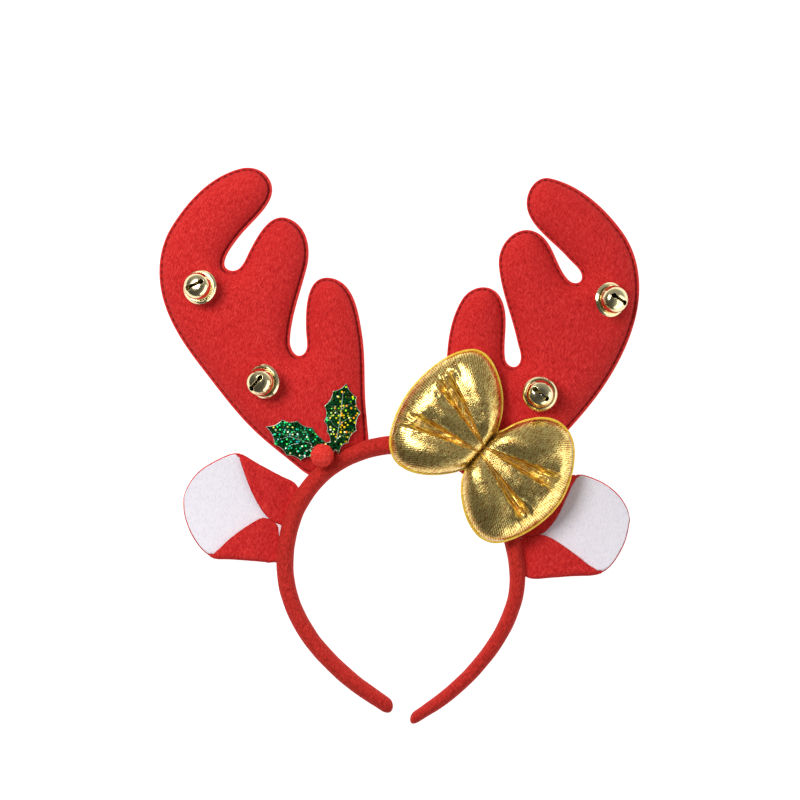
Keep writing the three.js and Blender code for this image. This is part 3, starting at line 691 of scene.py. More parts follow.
def stuff(obj, pinned, cap):
    """Blows an object up as cloth with some points pinned, moving no point further than cap mm."""
    group = obj.vertex_groups.new(name="sewn")
    group.add([int(k) for k in pinned], 1.0, "REPLACE")
    cloth = obj.modifiers.new("stuffing", "CLOTH")
    cloth.settings.vertex_group_mass = "sewn"
    cloth.settings.use_pressure = True
    cloth.settings.uniform_pressure_force = PRESSURE
    cloth.settings.effector_weights.gravity = 0
    cloth.settings.quality = 4
    cloth.settings.mass = 0.1
    cloth.settings.bending_stiffness = 0.6
    cloth.point_cache.frame_end = STUFFING_FRAMES
    before = np.array([v.co for v in obj.data.vertices])
    for number in range(1, STUFFING_FRAMES + 1):
        scene.frame_set(number)
    graph = bpy.context.evaluated_depsgraph_get()
    after = np.array([v.co for v in obj.evaluated_get(graph).data.vertices])
    obj.modifiers.clear()
    obj.vertex_groups.clear()
    scene.frame_set(1)
    move = after - before
    size = np.linalg.norm(move, axis=1, keepdims=True)
    move *= np.minimum(1, cap * MM / np.maximum(size, 1e-9))
    obj.data.vertices.foreach_set("co", (before + move).ravel())
    print(f"{obj.name}: pressed out {size.mean() / MM:.2f} mm on average, {size.max() / MM:.2f} at most")


def antler_pad(name, sewn, root):
    """A stuffed antler: two sheets joined round the rim, blown up between the seams."""
    flat, triangles, rim = felt_sheet(sewn, root)
    front, back, depth = pad_heights(flat, sewn, root, PAD_SLACK)
    pad = add_mesh(name, *two_faced(flat, front, back, triangles, rim))
    held = (depth < SEAM + HELD_SEAM) | (nearest(flat, root)[0] < HELD_ROOT)
    stuff(pad, np.flatnonzero(np.concatenate((held, held))), PAD_CAP)
    return refine(pad, 1)


pads = {side: antler_pad(f"antler_{side}_pad", *outline) for side, outline in outlines.items()}

# %% [markdown]
# The needle pulls the felt in at every stitch. That pucker is too fine for the cloth above, so it
# is pressed in afterwards: each point near the seam sinks by how close it is to a stitch. The
# groove and the rim outside it are marked on the mesh, so that the felt can paint shade into the
# groove and a highlight onto the rim.

# %% Puckers and antler finish
STITCH_PITCH = 3.6
PUCKER, PUCKER_WIDE, PUCKER_LEAST = 0.38, 1.5, 0.25
# How strong the painted shade in each antler's seam groove is, where that groove lies, and how far in the rim
# with its painted highlight reaches.
GROOVE_SHADES = {"left": 1.0, "right": 0.45}
GROOVE_AT, GROOVE_WIDE, GROOVE_LEAST = SEAM + 0.1, 0.5, 0.08
RIM_HIGHLIGHT_ENDS = (0.7, 1.4)


def pucker(pad, sewn, groove):
    """Presses the stitches in; marks the seam groove for painted shade and the rim for a painted highlight.
    """
    points = vertices_mm(pad)
    depth, number = sewn_depth(points, sewn)
    phase = np.cos(number * EDGE_STEP / STITCH_PITCH * 2 * math.pi)
    wide = wide_side(sewn)[number]
    press = PUCKER * (PUCKER_LEAST + (1 - PUCKER_LEAST) * wide) * phase * hump(depth, SEAM, PUCKER_WIDE)
    front = points[:, 2] > (EDGE_LOW + EDGE_HIGH) / 2
    points[:, 2] -= np.where(front, press, -press)
    crown = np.tanh((points[:, 2] - PAD_FRONT + PAD_CROWN).clip(0) / PAD_CROWN) * PAD_CROWN
    points[:, 2] = np.clip(points[:, 2], 0.0, PAD_FRONT - PAD_CROWN) + crown
    move_vertices(pad, points)
    # The painted shade in the groove is strongest on edges that face right, away from the key lamp.
    shade_strength = groove * (GROOVE_LEAST + (1 - GROOVE_LEAST) * wide)
    mark(pad, "groove", hump(depth, GROOVE_AT, GROOVE_WIDE) * shade_strength)
    mark(pad, "rim", 1 - soft_step(depth, *RIM_HIGHLIGHT_ENDS))


for side, pad in pads.items():
    pucker(pad, outlines[side][0], GROOVE_SHADES[side])
    dress(pad, "felt", red_felt, node=f"antler_{side}")

# %% [markdown]
# ## Stitches
# A sewing machine leaves a row of short dashes of thread on both faces. They could be painted, but
# thread has thickness, so each dash is a tiny capsule whose ends dive into the felt.

# %% Stitches
STITCH_HALF = 0.95
STITCH_RADIUS = 0.32
STITCH_SHAPE = ((-1, 0.2), (-0.85, 0.65), (-0.5, 0.95), (0, 1), (0.5, 0.95), (0.85, 0.65), (1, 0.2))
STITCH_SIDES, STITCH_DIVE, STITCH_STOP = 6, 0.45, 2
SUNK, SUNK_HIDDEN, SUNK_UNEVEN, UNEVEN_LONG = 0.1, 0.8, 0.3, 25
DROP_FROM = 30


def thread_finish():
    wire, shader, material = new_finish("seam thread", Roughness=0.7, Specular_IOR_Level=0.25)
    place = own_place(wire)
    twist = mottle(wire, place, 2600.0, 1.0)
    feed(wire, shader, Base_Color=twist.mix(linear(104, 10, 15), linear(146, 20, 25)))
    return material


def stitch(place, along, facing):
    """One dash of thread at a place, lying along a direction, on the front or the back."""
    across = np.array((-along[1], along[0], 0))
    up = np.array((0, 0, facing))
    rings = []
    for reach, share in STITCH_SHAPE:
        middle = place + along * reach * STITCH_HALF - up * STITCH_DIVE * reach * reach
        angle = turns(STITCH_SIDES)[:, None]
        rings.append(middle + STITCH_RADIUS * share * (np.cos(angle) * across + np.sin(angle) * up))
    return tube(rings)


def stitches(name, pad, sewn):
    """Both rows of an antler's stitches, sunk deeper where the seam is turned away."""
    seam = sewn + inward(sewn) * seam_inset(sewn)[:, None]
    hidden = 1 - wide_side(sewn)
    along = unit(np.gradient(seam, axis=0))
    surface = ground([pad])
    parts = []
    for s in np.arange(STITCH_PITCH, len(sewn) * EDGE_STEP - STITCH_STOP, STITCH_PITCH):
        k = int(round(s / EDGE_STEP))
        heading = np.append(along[k], 0)
        for facing in (1, -1):
            hit = surface.ray_cast(Vector((*seam[k], DROP_FROM * facing)), Vector((0, 0, -facing)))[0]
            if hit is not None:
                uneven = noise.noise(Vector((*seam[k] / UNEVEN_LONG, facing)))
                sunk = SUNK + SUNK_HIDDEN * hidden[k] + SUNK_UNEVEN * uneven
                parts.append(stitch(np.array(hit) - (0, 0, sunk * facing), heading, facing))
    print(name, "has", len(parts), "stitches")
    return add_mesh(name, *joined(parts))


seam_thread = thread_finish()
for side, pad in pads.items():
    dress(stitches(f"antler_{side}_stitches", pad, outlines[side][0]), "felt", seam_thread)

# %% [markdown]
# ## Ears
# An ear is one leaf of red felt with a white felt facing. Its two sides are rolled over to the front
# and caught in the seam at the band. A fold could be simulated, but it is simpler to roll the
# drawing: each row across the ear lies flat, goes round a small roll, and lies back over itself.

# %% Ear rows
FELT, FELT_ROUND = 1.2, 0.3
EAR_BASE, EAR_CUP, EAR_WIDE = 3.4, 1.6, 24
ROLL_LEAST, ROLL_TIGHT, ROLL_LOOSE = 0.66, 1.1, 1.8
ROLL_GROWS, TURN_GROWS = 8, 2.5
SEWN_DOWN, SEWN_ENDS = 0.35, (1, 13)
EAR_COLUMNS, EAR_ROW_STEPS = 48, 4
# Each row: distance from the band, then how far the upper side reaches and where its free edge
# comes back to, and the same for the lower side.
EARS = {
    "left": {
        "x": -56.6, "y": -39.8, "heading": 164.6,
        "rows": [
            (-6, 15, -0.4, 15, 12), (0, 20.2, -0.4, 18.9, 12), (2.3, 21.4, -0.3, 19.7, 5),
            (4, 21.8, -0.1, 20, 1.6), (6.5, 22.2, 0.4, 20.3, 0.3), (9.5, 22.75, 1.6, 20.8, -0.5),
            (12.5, 23.4, 3.6, 21.4, 0.1), (16, 24.2, 6.7, 22.1, 3.2), (20.5, 25.2, 11.5, 23, 8.2),
            (25.8, 26.7, 18.4, 24.3, 15.3), (28.8, 27.5, 22.8, 25, 20.4), (31.4, 27.9, 26.3, 24.9, 23.6),
            (34.2, 27.5, 27.5, 24, 24), (37.4, 25.6, 25.6, 22.4, 22.4), (40.8, 22.8, 22.8, 19.9, 19.9),
            (44.5, 19.3, 19.3, 16.4, 16.4), (48, 15.4, 15.4, 11.9, 11.9), (50.5, 11.2, 11.2, 7.6, 7.6),
            (52, 7, 7, 3.6, 3.6), (52.7, 3.8, 3.8, 0.9, 0.9), (52.9, 2, 2, 0.2, 0.2),
        ],
    },
    "right": {
        "x": 58.9, "y": -47.8, "heading": 11,
        "rows": [
            (-6, 15, 1.35, 14, -0.6), (0, 17.6, 1.35, 17.2, -0.6), (2.5, 18.3, 1.35, 18.9, -0.6),
            (6, 19.3, 1.35, 19.9, -0.6), (12.7, 21.2, 1.5, 20.6, -0.4), (17.4, 22.7, 4.1, 21.2, 2.4),
            (22.5, 24.2, 8.8, 21.8, 7.2), (28.8, 25.9, 17.4, 22.8, 14), (33.5, 26.6, 23.6, 23.5, 19.4),
            (37.8, 26.2, 26.2, 23.4, 22.4), (40.6, 25, 25, 22.5, 22.5), (44.5, 22.6, 22.6, 20.1, 20.1),
            (48.5, 19.6, 19.6, 16.2, 16.2), (52.5, 15.2, 15.2, 11.1, 11.1), (55, 11.3, 11.3, 6.4, 6.4),
            (56.8, 6.8, 6.8, 1.9, 1.9), (57.3, 4.6, 4.6, 0.7, 0.7), (57.5, 3, 3, 0.2, 0.2),
        ],
    },
}


def folded_over(along, reach, edge):
    """Length of felt past the fold that brings its free edge to a side, and the fold's radius."""
    width = max(reach - edge, 0)
    sewn_down = SEWN_DOWN + (1 - SEWN_DOWN) * soft_step(along, *SEWN_ENDS)
    radius = (ROLL_TIGHT + (ROLL_LOOSE - ROLL_TIGHT) * soft_step(width, 0, ROLL_GROWS)) * sewn_down
    radius = max(radius, ROLL_LEAST)
    return width + radius * (math.pi - 1) * soft_step(width, 0, TURN_GROWS), radius


for side, ear in EARS.items():
    ear["fine"] = spline(ear["rows"], EAR_ROW_STEPS)
    print(side, "ear:", len(ear["fine"]), "rows")


# %% Rolled felt
BLOCK_LOW, BLOCK_TALL = -20.0, 80


def rolled(along, reach, edge):
    """Side and height of points across half an ear: flat, round the roll, and back over itself."""
    turned, radius = folded_over(along, reach, edge)
    angle = min(math.pi, turned / radius)
    flat = reach - radius * math.sin(min(angle, math.pi / 2))
    travel = np.linspace(0, flat + turned, EAR_COLUMNS + 1)
    turn = np.clip((travel - flat) / radius, 0, angle)
    straight = np.clip(travel - flat - angle * radius, 0, None)
    side = np.minimum(travel, flat) + radius * np.sin(turn) - straight
    return np.column_stack((side, radius * (1 - np.cos(turn)))), flat + turned


def sheet_ring(line, along, thick):
    """A closed section of a sheet of even thickness about a line of sides and heights."""
    cupped = line + np.column_stack((np.zeros(len(line)), EAR_CUP * (line[:, 0] / EAR_WIDE) ** 2))
    run = unit(np.gradient(cupped, axis=0))
    normal = np.column_stack((-run[:, 1], run[:, 0])) * thick / 2
    rounding = run * thick * FELT_ROUND
    inner, outer = cupped + normal, cupped - normal
    loop = np.vstack((outer, cupped[-1:] + rounding[-1:], inner[::-1], cupped[:1] - rounding[:1]))
    return np.column_stack((np.full(len(loop), along), loop))


def place_ear(points, ear):
    """Turns an ear from its own frame to its place beside the band."""
    mirror = math.copysign(1, math.cos(math.radians(ear["heading"])))
    turn = Matrix.Rotation(math.radians(ear["heading"]), 3, "Z") @ Matrix.Diagonal((1, mirror, 1))
    return points @ np.array(turn).T + (ear["x"], ear["y"], EAR_BASE + FELT / 2)


def band_block():
    """The space inside the band's outer edge, as a tall block to trim with."""
    low = np.column_stack((band_edge, np.full(len(band_edge), BLOCK_LOW)))
    return add_mesh("band_block", *tube([low, low + (0, 0, BLOCK_TALL)]))


def trim(obj, block):
    """Cuts away what lies inside a block."""
    cut = obj.modifiers.new("trim", "BOOLEAN")
    cut.operation, cut.solver, cut.object = "DIFFERENCE", "EXACT", block
    return settle(obj)


def flat_cut(along, widths):
    """Width, length and area of a sheet before it was rolled, in metres."""
    outside = along >= BAND_LINE[0][2] / 2 - TUCK
    length = along[-1] - along[outside][0]
    area = np.trapz(widths[outside], along[outside])
    return (widths[outside].max() * MM, length * MM), area * MM * MM


block = band_block()


def ear_sheet(name, ear, rings, widths):
    """A sheet through its sections, trimmed at the band, with its flat cut and area."""
    points, faces = tube(rings)
    sheet = trim(add_mesh(name, place_ear(points, ear), faces), block)
    flat, area = flat_cut(ear["fine"][:, 0], np.array(widths))
    print(name, "cut:", [round(v / MM) for v in flat], "mm, area", round(area * 1e4, 1), "cm2")
    return sheet, flat, area


for side, ear in EARS.items():
    rings, widths = [], []
    for along, upper, upper_edge, lower, lower_edge in ear["fine"]:
        up, up_width = rolled(along, upper, upper_edge)
        down, down_width = rolled(along, lower, lower_edge)
        rings.append(sheet_ring(np.vstack((down[:0:-1] * (-1, 1), up)), along, FELT))
        widths.append(up_width + down_width)
    leaf, flat, area = ear_sheet(f"ear_{side}_felt", ear, rings, widths)
    dress(leaf, "felt", red_felt, node=f"ear_{side}")

# %% Ear facings
LINING, LINING_GAP, LINING_EDGE = 0.8, 0.08, 0.35
LINING_LEAST, LINING_COLUMNS = 0.1, 40


def facing_reach(along, reach, edge):
    """How far out the facing goes: to the felt's edge, or to where the fold begins."""
    radius = folded_over(along, reach, edge)[1]
    return max(reach - radius * soft_step(reach - edge, 0, 1) - LINING_EDGE, LINING_LEAST)


for side, ear in EARS.items():
    rings, widths = [], []
    for along, upper, upper_edge, lower, lower_edge in ear["fine"]:
        high = facing_reach(along, upper, upper_edge)
        low = facing_reach(along, lower, lower_edge)
        sides = np.linspace(-low, high, LINING_COLUMNS)
        level = np.full(LINING_COLUMNS, FELT / 2 + LINING_GAP + LINING / 2)
        rings.append(sheet_ring(np.column_stack((sides, level)), along - LINING_EDGE, LINING))
        widths.append(high + low)
    facing, flat, area = ear_sheet(f"ear_{side}_facing", ear, rings, widths)
    dress(facing, "lining", white_felt, node=f"ear_{side}_lining")
bpy.data.objects.remove(block)

# %% [markdown]
# ## Bells
# A craft bell is two pressed brass shells. The cup's edge is turned out into a flared rim, the dome
# stands inside it, and a slot with a round hole at each end lets the sound out. Both shells
# are turned on a lathe here, and the slot is cut and given the turned-in lip that catches light.

# %% Brass
def brass_finish(name, pale, deep, rough):
    """Bare metal with cloudy colour and fine scratches."""
    wire, shader, material = new_finish(name, Metallic=1.0)
    place = own_place(wire)
    tarnish = mottle(wire, place, 320.0, 3.0)
    scratch = mottle(wire, place, 2400.0)
    feed(wire, shader, Base_Color=tarnish.mix(pale, deep), Roughness=scratch * 0.08 + rough)
    return material


bell_brass = brass_finish("bell brass", (0.87, 0.77, 0.46), (0.75, 0.63, 0.34), 0.13)
pea_steel = brass_finish("pea steel", (0.72, 0.68, 0.58), (0.55, 0.52, 0.45), 0.16)
print("metals:", bell_brass.name, pea_steel.name)

# %% Bell shells
BELL_SIDES = 72
CUP_RADIUS, SHELL = 6.4, 0.5
DOME_RADIUS, DOME_FOOT, DOME_TALL, DOME_SQUARE = 6.95, 1.0, 8.0, 3.0
DOME_SUNK = 0.3
RIM_RADIUS, RIM_AT, RIM_UNDER = 0.25, 8.4, (7.3, -0.9)
RIM_TOP = [(8.25, 0.3), (7.95, 0.62), (7.72, 0.84), (7.52, 0.94), (7.36, 0.86), (7.28, 0.6), (7.25, 0.1)]
SLOT_REACH, SLOT_HOLE, SLOT_WIDTH, SLOT_FLOOR = 3.6, 1.35, 1.5, 2
LIP_RADIUS, LIP_GROW, LIP_SINK = 0.17, 0.1, 0.1
HUB = 0.02
BELL_SEAT = PAD_FRONT + SEAT + CUP_RADIUS
BELLS = [
    {"x": -99.3, "y": 79, "tilt": 19, "towards": 159, "slot": 25, "pea": 0},
    {"x": -67.6, "y": 32, "tilt": 27, "towards": 195, "slot": 48, "pea": 0},
    {"x": 105.4, "y": 72.7, "tilt": 30, "towards": 2, "slot": -30, "pea": 0},
    {"x": 70.2, "y": 25.7, "tilt": 2, "towards": 0, "slot": -39, "pea": 1.4},
]


def arc(radius, centre, first, last, steps, out=0.0):
    """Points of part of a circle as distance from the axis and height."""
    angle = np.radians(np.linspace(first, last, steps + 1))
    return np.column_stack((out + radius * np.cos(angle), centre + radius * np.sin(angle)))


def lathe(profile):
    """Rings of points where a profile is turned about the upright axis, with a pinhole for a hub."""
    angle = turns(BELL_SIDES)
    circle = np.column_stack((np.cos(angle), np.sin(angle)))
    return [np.column_stack((max(r, HUB) * circle, np.full(BELL_SIDES, z))) for r, z in profile]


def dome_arc(sink, first, last, steps):
    """Part of the dome's outline, squarer than a ball, at a depth below its outside."""
    angle = np.radians(np.linspace(first, last, steps + 1))
    out, up = np.cos(angle) ** (2 / DOME_SQUARE), np.sin(angle) ** (2 / DOME_SQUARE)
    return np.column_stack((out * (DOME_RADIUS - sink), DOME_FOOT + up * (DOME_TALL - sink)))


cup_profile = np.vstack((
    arc(CUP_RADIUS, 0, -90, -12, 16),
    [RIM_UNDER],
    arc(RIM_RADIUS, -RIM_RADIUS, -70, 55, 6, out=RIM_AT),
    RIM_TOP,
    arc(CUP_RADIUS - SHELL, 0, 0, -90, 14),
))
dome_profile = np.vstack((
    [(DOME_RADIUS - SHELL, DOME_SUNK), (DOME_RADIUS, DOME_SUNK)],
    dome_arc(0, 0, 90, 26),
    dome_arc(SHELL, 90, 0, 20),
))


def slot_outline(grow, steps=14):
    """The slot's edge: a bar with a round hole at each end, made wider by a little."""
    hole, bar = SLOT_HOLE + grow, SLOT_WIDTH / 2 + grow
    side = math.asin(bar / hole)
    right = np.linspace(-math.pi + side, math.pi - side, steps)
    ends = np.column_stack((SLOT_REACH + hole * np.cos(right), hole * np.sin(right)))
    bars = np.linspace(1, -1, 9)[1:-1, None] * (SLOT_REACH - hole * math.cos(side), 0) + (0, bar)
    half = np.vstack((ends, bars))
    return np.vstack((half, -half))


def sections(line, along, radius, sides, width=1):
    """Rings across a line of points, round or some times as wide as they are high."""
    across = unit(np.cross(along, (0, 0, 1)))
    up = np.cross(across, along)
    angle = turns(sides)[:, None, None]
    rings = line + radius * (np.cos(angle) * across * width + np.sin(angle) * up)
    return rings.transpose(1, 0, 2)


def ring_tube(line, radius, sides=8, width=1):
    """A tube along a closed line of points."""
    along = unit(np.roll(line, -1, axis=0) - np.roll(line, 1, axis=0))
    rings = sections(line, along, radius, sides, width)
    return rings.reshape(-1, 3), loop_faces(len(line), sides)


def on_dome(outline, sink):
    """A flat outline laid on the dome, or a little under its outside."""
    share = np.linalg.norm(outline, axis=1) / DOME_RADIUS
    height = DOME_FOOT + DOME_TALL * (1 - share**DOME_SQUARE) ** (1 / DOME_SQUARE)
    return np.column_stack((outline, height - sink))


def place_bell(points, bell):
    """Turns a shell's slot, tips its axis over and sets it on the antler."""
    lean = heading_vector(bell["towards"]) * math.sin(math.radians(bell["tilt"]))
    axis = Vector((lean.x, lean.y, math.cos(math.radians(bell["tilt"]))))
    turn = Vector((0, 0, 1)).rotation_difference(axis).to_matrix()
    turn = turn @ Matrix.Rotation(math.radians(bell["slot"]), 3, "Z")
    return np.asarray(points) @ np.array(turn).T + (bell["x"], bell["y"], BELL_SEAT)


def turned_shell(name, profile, bell, cutter=None):
    """A shell off the lathe, cut where a cutter is given, in its place on the antler."""
    shell = add_mesh(name, np.vstack(lathe(profile)), loop_faces(len(profile), BELL_SIDES))
    if cutter:
        trim(shell, cutter)
    move_vertices(shell, place_bell(vertices_mm(shell), bell))
    return shell


slot_base = np.column_stack((slot_outline(0), np.full(len(slot_outline(0)), DOME_FOOT + SLOT_FLOOR)))
slot_block = add_mesh("slot_block", *tube([slot_base, slot_base + (0, 0, DOME_TALL)]))
for number, bell in enumerate(BELLS, 1):
    cup = turned_shell(f"bell_{number}_cup_shell", cup_profile, bell)
    dress(cup, "bell", bell_brass, node=f"bell_{number}_cup")
    dome = turned_shell(f"bell_{number}_dome_shell", dome_profile, bell, slot_block)
    lip = ring_tube(on_dome(slot_outline(LIP_GROW), LIP_SINK), LIP_RADIUS)
    lip = add_mesh(f"bell_{number}_lip", place_bell(lip[0], bell), lip[1])
    dress(dome, "bell", bell_brass, node=f"bell_{number}_dome")
    dress(lip, "bell", bell_brass)
bpy.data.objects.remove(slot_block)

# %% Peas
PEA_RADIUS, CUP_WALL = 2.4, 0.8
rolling = CUP_RADIUS - CUP_WALL - SEAT - PEA_RADIUS
points, faces = tube(lathe(arc(PEA_RADIUS, 0, -90, 90, 14)))
for number, bell in enumerate(BELLS, 1):
    spot = np.array((bell["pea"], 0, -math.sqrt(rolling**2 - bell["pea"] ** 2)))
    pea = add_mesh(f"bell_{number}_ball", place_bell(points + spot, bell), faces)
    dress(pea, "pea", pea_steel, node=f"bell_{number}_pea")

# %% [markdown]
# ## Holly
# The sprig is cut from holographic film on card: dark green, full of coloured sparks, with a silver
# outline and silver veins. Sparks are cells of a Voronoi pattern, each with its own random hue; only
# those picked as lit are drawn, as painted glints that also glow. The silver lines are real ridges,
# because printed film stands up a little along its foil.

# %% Glitter and silver
SPARKS, SPARK_SIZE, SPARKS_LIT = 850.0, (0.3, 0.52), (0.55, 0.72)
SPARK_HUES = (0.0, 0.25, 0.5, 0.7, 0.86, 1.0)
COOL_SPARKS = [(0, 150, 80), (0, 205, 150), (70, 235, 90), (0, 160, 190), (240, 215, 20), (220, 255, 235)]
WARM_SPARKS = [(30, 150, 20), (250, 210, 10), (120, 220, 40), (250, 130, 10), (255, 190, 20), (245, 255, 190)]
# Where the left leaf's cool sparks give way to the right leaf's warm ones, in metres.
LEAVES_MEET = (-0.037, -0.031)
FILM_GRAIN, FILM_STEP = 1500.0, (0.45, 0.63)


def glitter_finish():
    """Dark film with round sparks, each of its own hue; those picked as lit are painted glints that also
    glow.
    """
    # The emission is painted light: it makes the lit sparks glow.
    wire, shader, material = new_finish(
        "green glitter", Metallic=0.2, Specular_IOR_Level=0.12, Emission_Strength=0.9
    )
    place = own_place(wire)
    cells = {"Vector": place, "Scale": SPARKS, "Randomness": 0.9}
    distance = wire.node("TexVoronoi", {}, cells, out="Distance")
    random_hue = wire.node("TexVoronoi", {}, cells, out="Color")
    hue = wire.node("SeparateColor", {}, {0: random_hue}, out=0)
    lit = wire.node("SeparateColor", {}, {0: random_hue}, out=1)
    x = wire.node("SeparateXYZ", {}, {0: place}, out=0)
    right = x.step(*LEAVES_MEET)
    tints = []
    for colours in (COOL_SPARKS, WARM_SPARKS):
        stops = [(place_on_ramp, linear(*colour)) for place_on_ramp, colour in zip(SPARK_HUES, colours)]
        tints.append(wire.node("ValToRGB", {"stops": stops}, {0: hue}))
    spark = right.mix(*tints)
    film = mottle(wire, place, FILM_GRAIN)
    green = film.step(*FILM_STEP).mix(linear(0, 12, 5), linear(8, 96, 38))
    # The sparks picked as lit are painted glints, partly the flecks' own hues, in the base colour and the
    # glow.
    dots = (1 - distance.step(*SPARK_SIZE)) * lit.step(*SPARKS_LIT)
    painted_glint_glow = dots.mix((0.0, 0.0, 0.0), spark)
    rough = 0.35 - dots * 0.15
    feed(wire, shader, Base_Color=dots.mix(green, spark), Roughness=rough, Emission_Color=painted_glint_glow)
    return material


def silver_finish():
    wire, shader, material = new_finish("silver foil", Metallic=0.85)
    place = own_place(wire)
    grain = mottle(wire, place, 1200.0)
    colour = grain.step(0.35, 0.7).mix(linear(120, 170, 130), linear(226, 236, 226))
    feed(wire, shader, Base_Color=colour, Roughness=grain * 0.2 + 0.2)
    return material


glitter, silver = glitter_finish(), silver_finish()
print("film:", glitter.name, "with", silver.name)

# %% Holly edge
HOLLY_THICK = 0.8
HOLLY_LATTICE, HOLLY_CLEAR, HOLLY_SPANS = 1.1, 0.6, ((-68, -18), (-8, 32))
HOLLOW_STEP = 0.125
# Each spine's place, and how deep the hollow after it is.
HOLLY_EDGE = [
    (-30.2, -4, 0), (-28.9, -0.2, 0.3), (-25.4, 1.5, 0.9), (-21.4, 7.5, 1.1), (-19.3, 16.4, 1.1),
    (-21.3, 24.1, 0.9), (-26.3, 30.9, 0.9), (-32.9, 27, 1), (-37.1, 19.7, 1.1), (-37.3, 12, 0.8),
    (-35.9, 6.9, 0.5), (-34.2, 2.5, 0.5), (-36.3, 1.5, 0.3), (-38.8, 3.4, 0.5), (-43.2, 8.8, 1),
    (-50.7, 12.2, 1), (-58.2, 12.8, 1.1), (-66.4, 9.4, 1.1), (-62, 0.4, 1), (-56.2, -4.8, 0.9),
    (-48.9, -7.3, 0.7), (-44.5, -5.6, 0.2), (-38.5, -6, 0), (-33, -4.5, 0.3), (-31.6, -1.8, 0),
]


def scalloped(rows):
    """The sprig's edge: spines joined by hollows of a given depth."""
    points = []
    for (x, y, depth), (next_x, next_y, _) in zip(rows, rows[1:] + rows[:1]):
        start, end = np.array((x, y)), np.array((next_x, next_y))
        across = unit(np.array((y - next_y, next_x - x)))
        hollow = (start + end) / 2 + 2 * depth * across
        for t in np.arange(0, 1, HOLLOW_STEP):
            points.append((1 - t) ** 2 * start + 2 * t * (1 - t) * hollow + t * t * end)
    return np.array(points)


holly_edge = scalloped(HOLLY_EDGE)
columns, rows = (np.arange(*span, HOLLY_LATTICE) for span in HOLLY_SPANS)
spots = np.array([(x, y) for x in columns for y in rows])
spots = spots[in_polygon(spots, holly_edge) & (nearest(spots, holly_edge)[0] > HOLLY_CLEAR)]
leaf_flat, leaf_faces, leaf_rim = filled(holly_edge, spots)
print("holly:", len(leaf_flat), "points in", len(leaf_faces), "triangles")

# %% [markdown]
# Film laid on stuffed felt follows its curve. Each point of the flat cut is dropped onto the pad or
# the band below it, and then a little of the flat cut's own stiffness is kept.

# %% Holly in place
HOLLY_ROOM = 1.0
HOLLY_TOP = PAD_FRONT + SEAT + HOLLY_ROOM
HOLLY_STIFF, HOLLY_SAG, HOLLY_GAP = 0.45, 4.0, 0.25
HOLLY_RIPPLE, RIPPLE_LONG = 0.3, 5
FOIL_RIM, FOIL_RIB, FOIL_VEIN, FOIL_LIFT = 0.17, 0.24, 0.17, 0.02
FOIL_SIDES, FOIL_TAPER = 6, 0.45
HOLLY_RIBS = [
    [(-31.2, 2.3), (-29.6, 12.2), (-27.9, 26.4)], [(-43.4, 0.6), (-50.7, 3.2), (-62, 7.1)],
]
HOLLY_VEINS = [
    [(-28.9, 17.6), (-26.6, 19.6), (-23.5, 20.9)], [(-29.6, 10.3), (-27, 12.6), (-23.7, 14)],
    [(-31, 3.2), (-28.9, 4.7), (-26.2, 5.7)], [(-29.3, 14.9), (-31.4, 16.9), (-33.6, 20.1)],
    [(-30.2, 8.4), (-32.6, 10.4), (-34.8, 13.6)], [(-50.1, 1.1), (-53, 0.5), (-56, -0.6)],
    [(-42.6, -0.8), (-45.2, -2.4), (-47.6, -3.4)], [(-55.4, 4.7), (-57.2, 3.7), (-59.3, 3.2)],
    [(-49.8, 3), (-51, 5.6), (-53, 8.4)], [(-44.2, 1.2), (-45.6, 4.6), (-47.2, 7.6)],
]
below = ground([pads["left"], band])


def film_height(x, y):
    """Height of the film's top over a place on the antler or band."""
    hit = below.ray_cast(Vector((x, y, DROP_FROM)), Vector((0, 0, -1)))[0]
    rest = max(hit.z, PAD_FRONT - HOLLY_SAG) + HOLLY_GAP + HOLLY_THICK if hit else HOLLY_TOP
    ripple = HOLLY_RIPPLE * noise.noise(Vector((x, y, 3)) / RIPPLE_LONG)
    return HOLLY_STIFF * HOLLY_TOP + (1 - HOLLY_STIFF) * rest + ripple


def foil_line(places, radius):
    """A silver vein through a few places, lying on the film and thinner at its far end."""
    line = np.array([(x, y, film_height(x, y) + FOIL_LIFT) for x, y in spline(places, 6)])
    along = unit(np.gradient(line, axis=0))
    taper = np.linspace(1, FOIL_TAPER, len(line))[:, None]
    return tube(sections(line, along, radius * taper, FOIL_SIDES))


top = np.array([film_height(x, y) for x, y in leaf_flat])
points, faces = two_faced(leaf_flat, top, top - HOLLY_THICK, leaf_faces, leaf_rim)
edge = np.array([(x, y, film_height(x, y)) for x, y in holly_edge])
foil = [ring_tube(edge, FOIL_RIM, FOIL_SIDES)]
foil += [foil_line(places, FOIL_RIB) for places in HOLLY_RIBS]
foil += [foil_line(places, FOIL_VEIN) for places in HOLLY_VEINS]
film_faces = len(faces)
holly = add_mesh("holly_sprig", *joined([(points, faces), *foil]))
dress(holly, "holly", glitter, silver, node="holly")
for polygon in holly.data.polygons:
    polygon.material_index = int(polygon.index >= film_faces)

# %% [markdown]
# ## Berry
# The berry is a pompom: a ball of short fibres trimmed round. Hair particles would vanish in the
# exported mesh, so the ball gets many thin closed spikes, seeded so that each run grows the same.

# %% Berry
BERRY_FLOOR = HOLLY_TOP + SEAT
BERRY = np.array((-38.3, -5.0, BERRY_FLOOR + 4.9))
BERRY_RADIUS, BERRY_FIBRES, BERRY_SEED = 5.3, 4200, 12
# The ball's lumps: how high and how close together.
BERRY_LUMPS = ((0.35, 3.1), (0.22, 9))
FIBRE_ROOT, FIBRE_LEAN = 0.5, 0.35
FIBRE_LONG, FIBRE_THICK, FIBRE_CORNERS = (0.2, 1.0), (0.1, 0.17), (0, 2.1, 4.2)
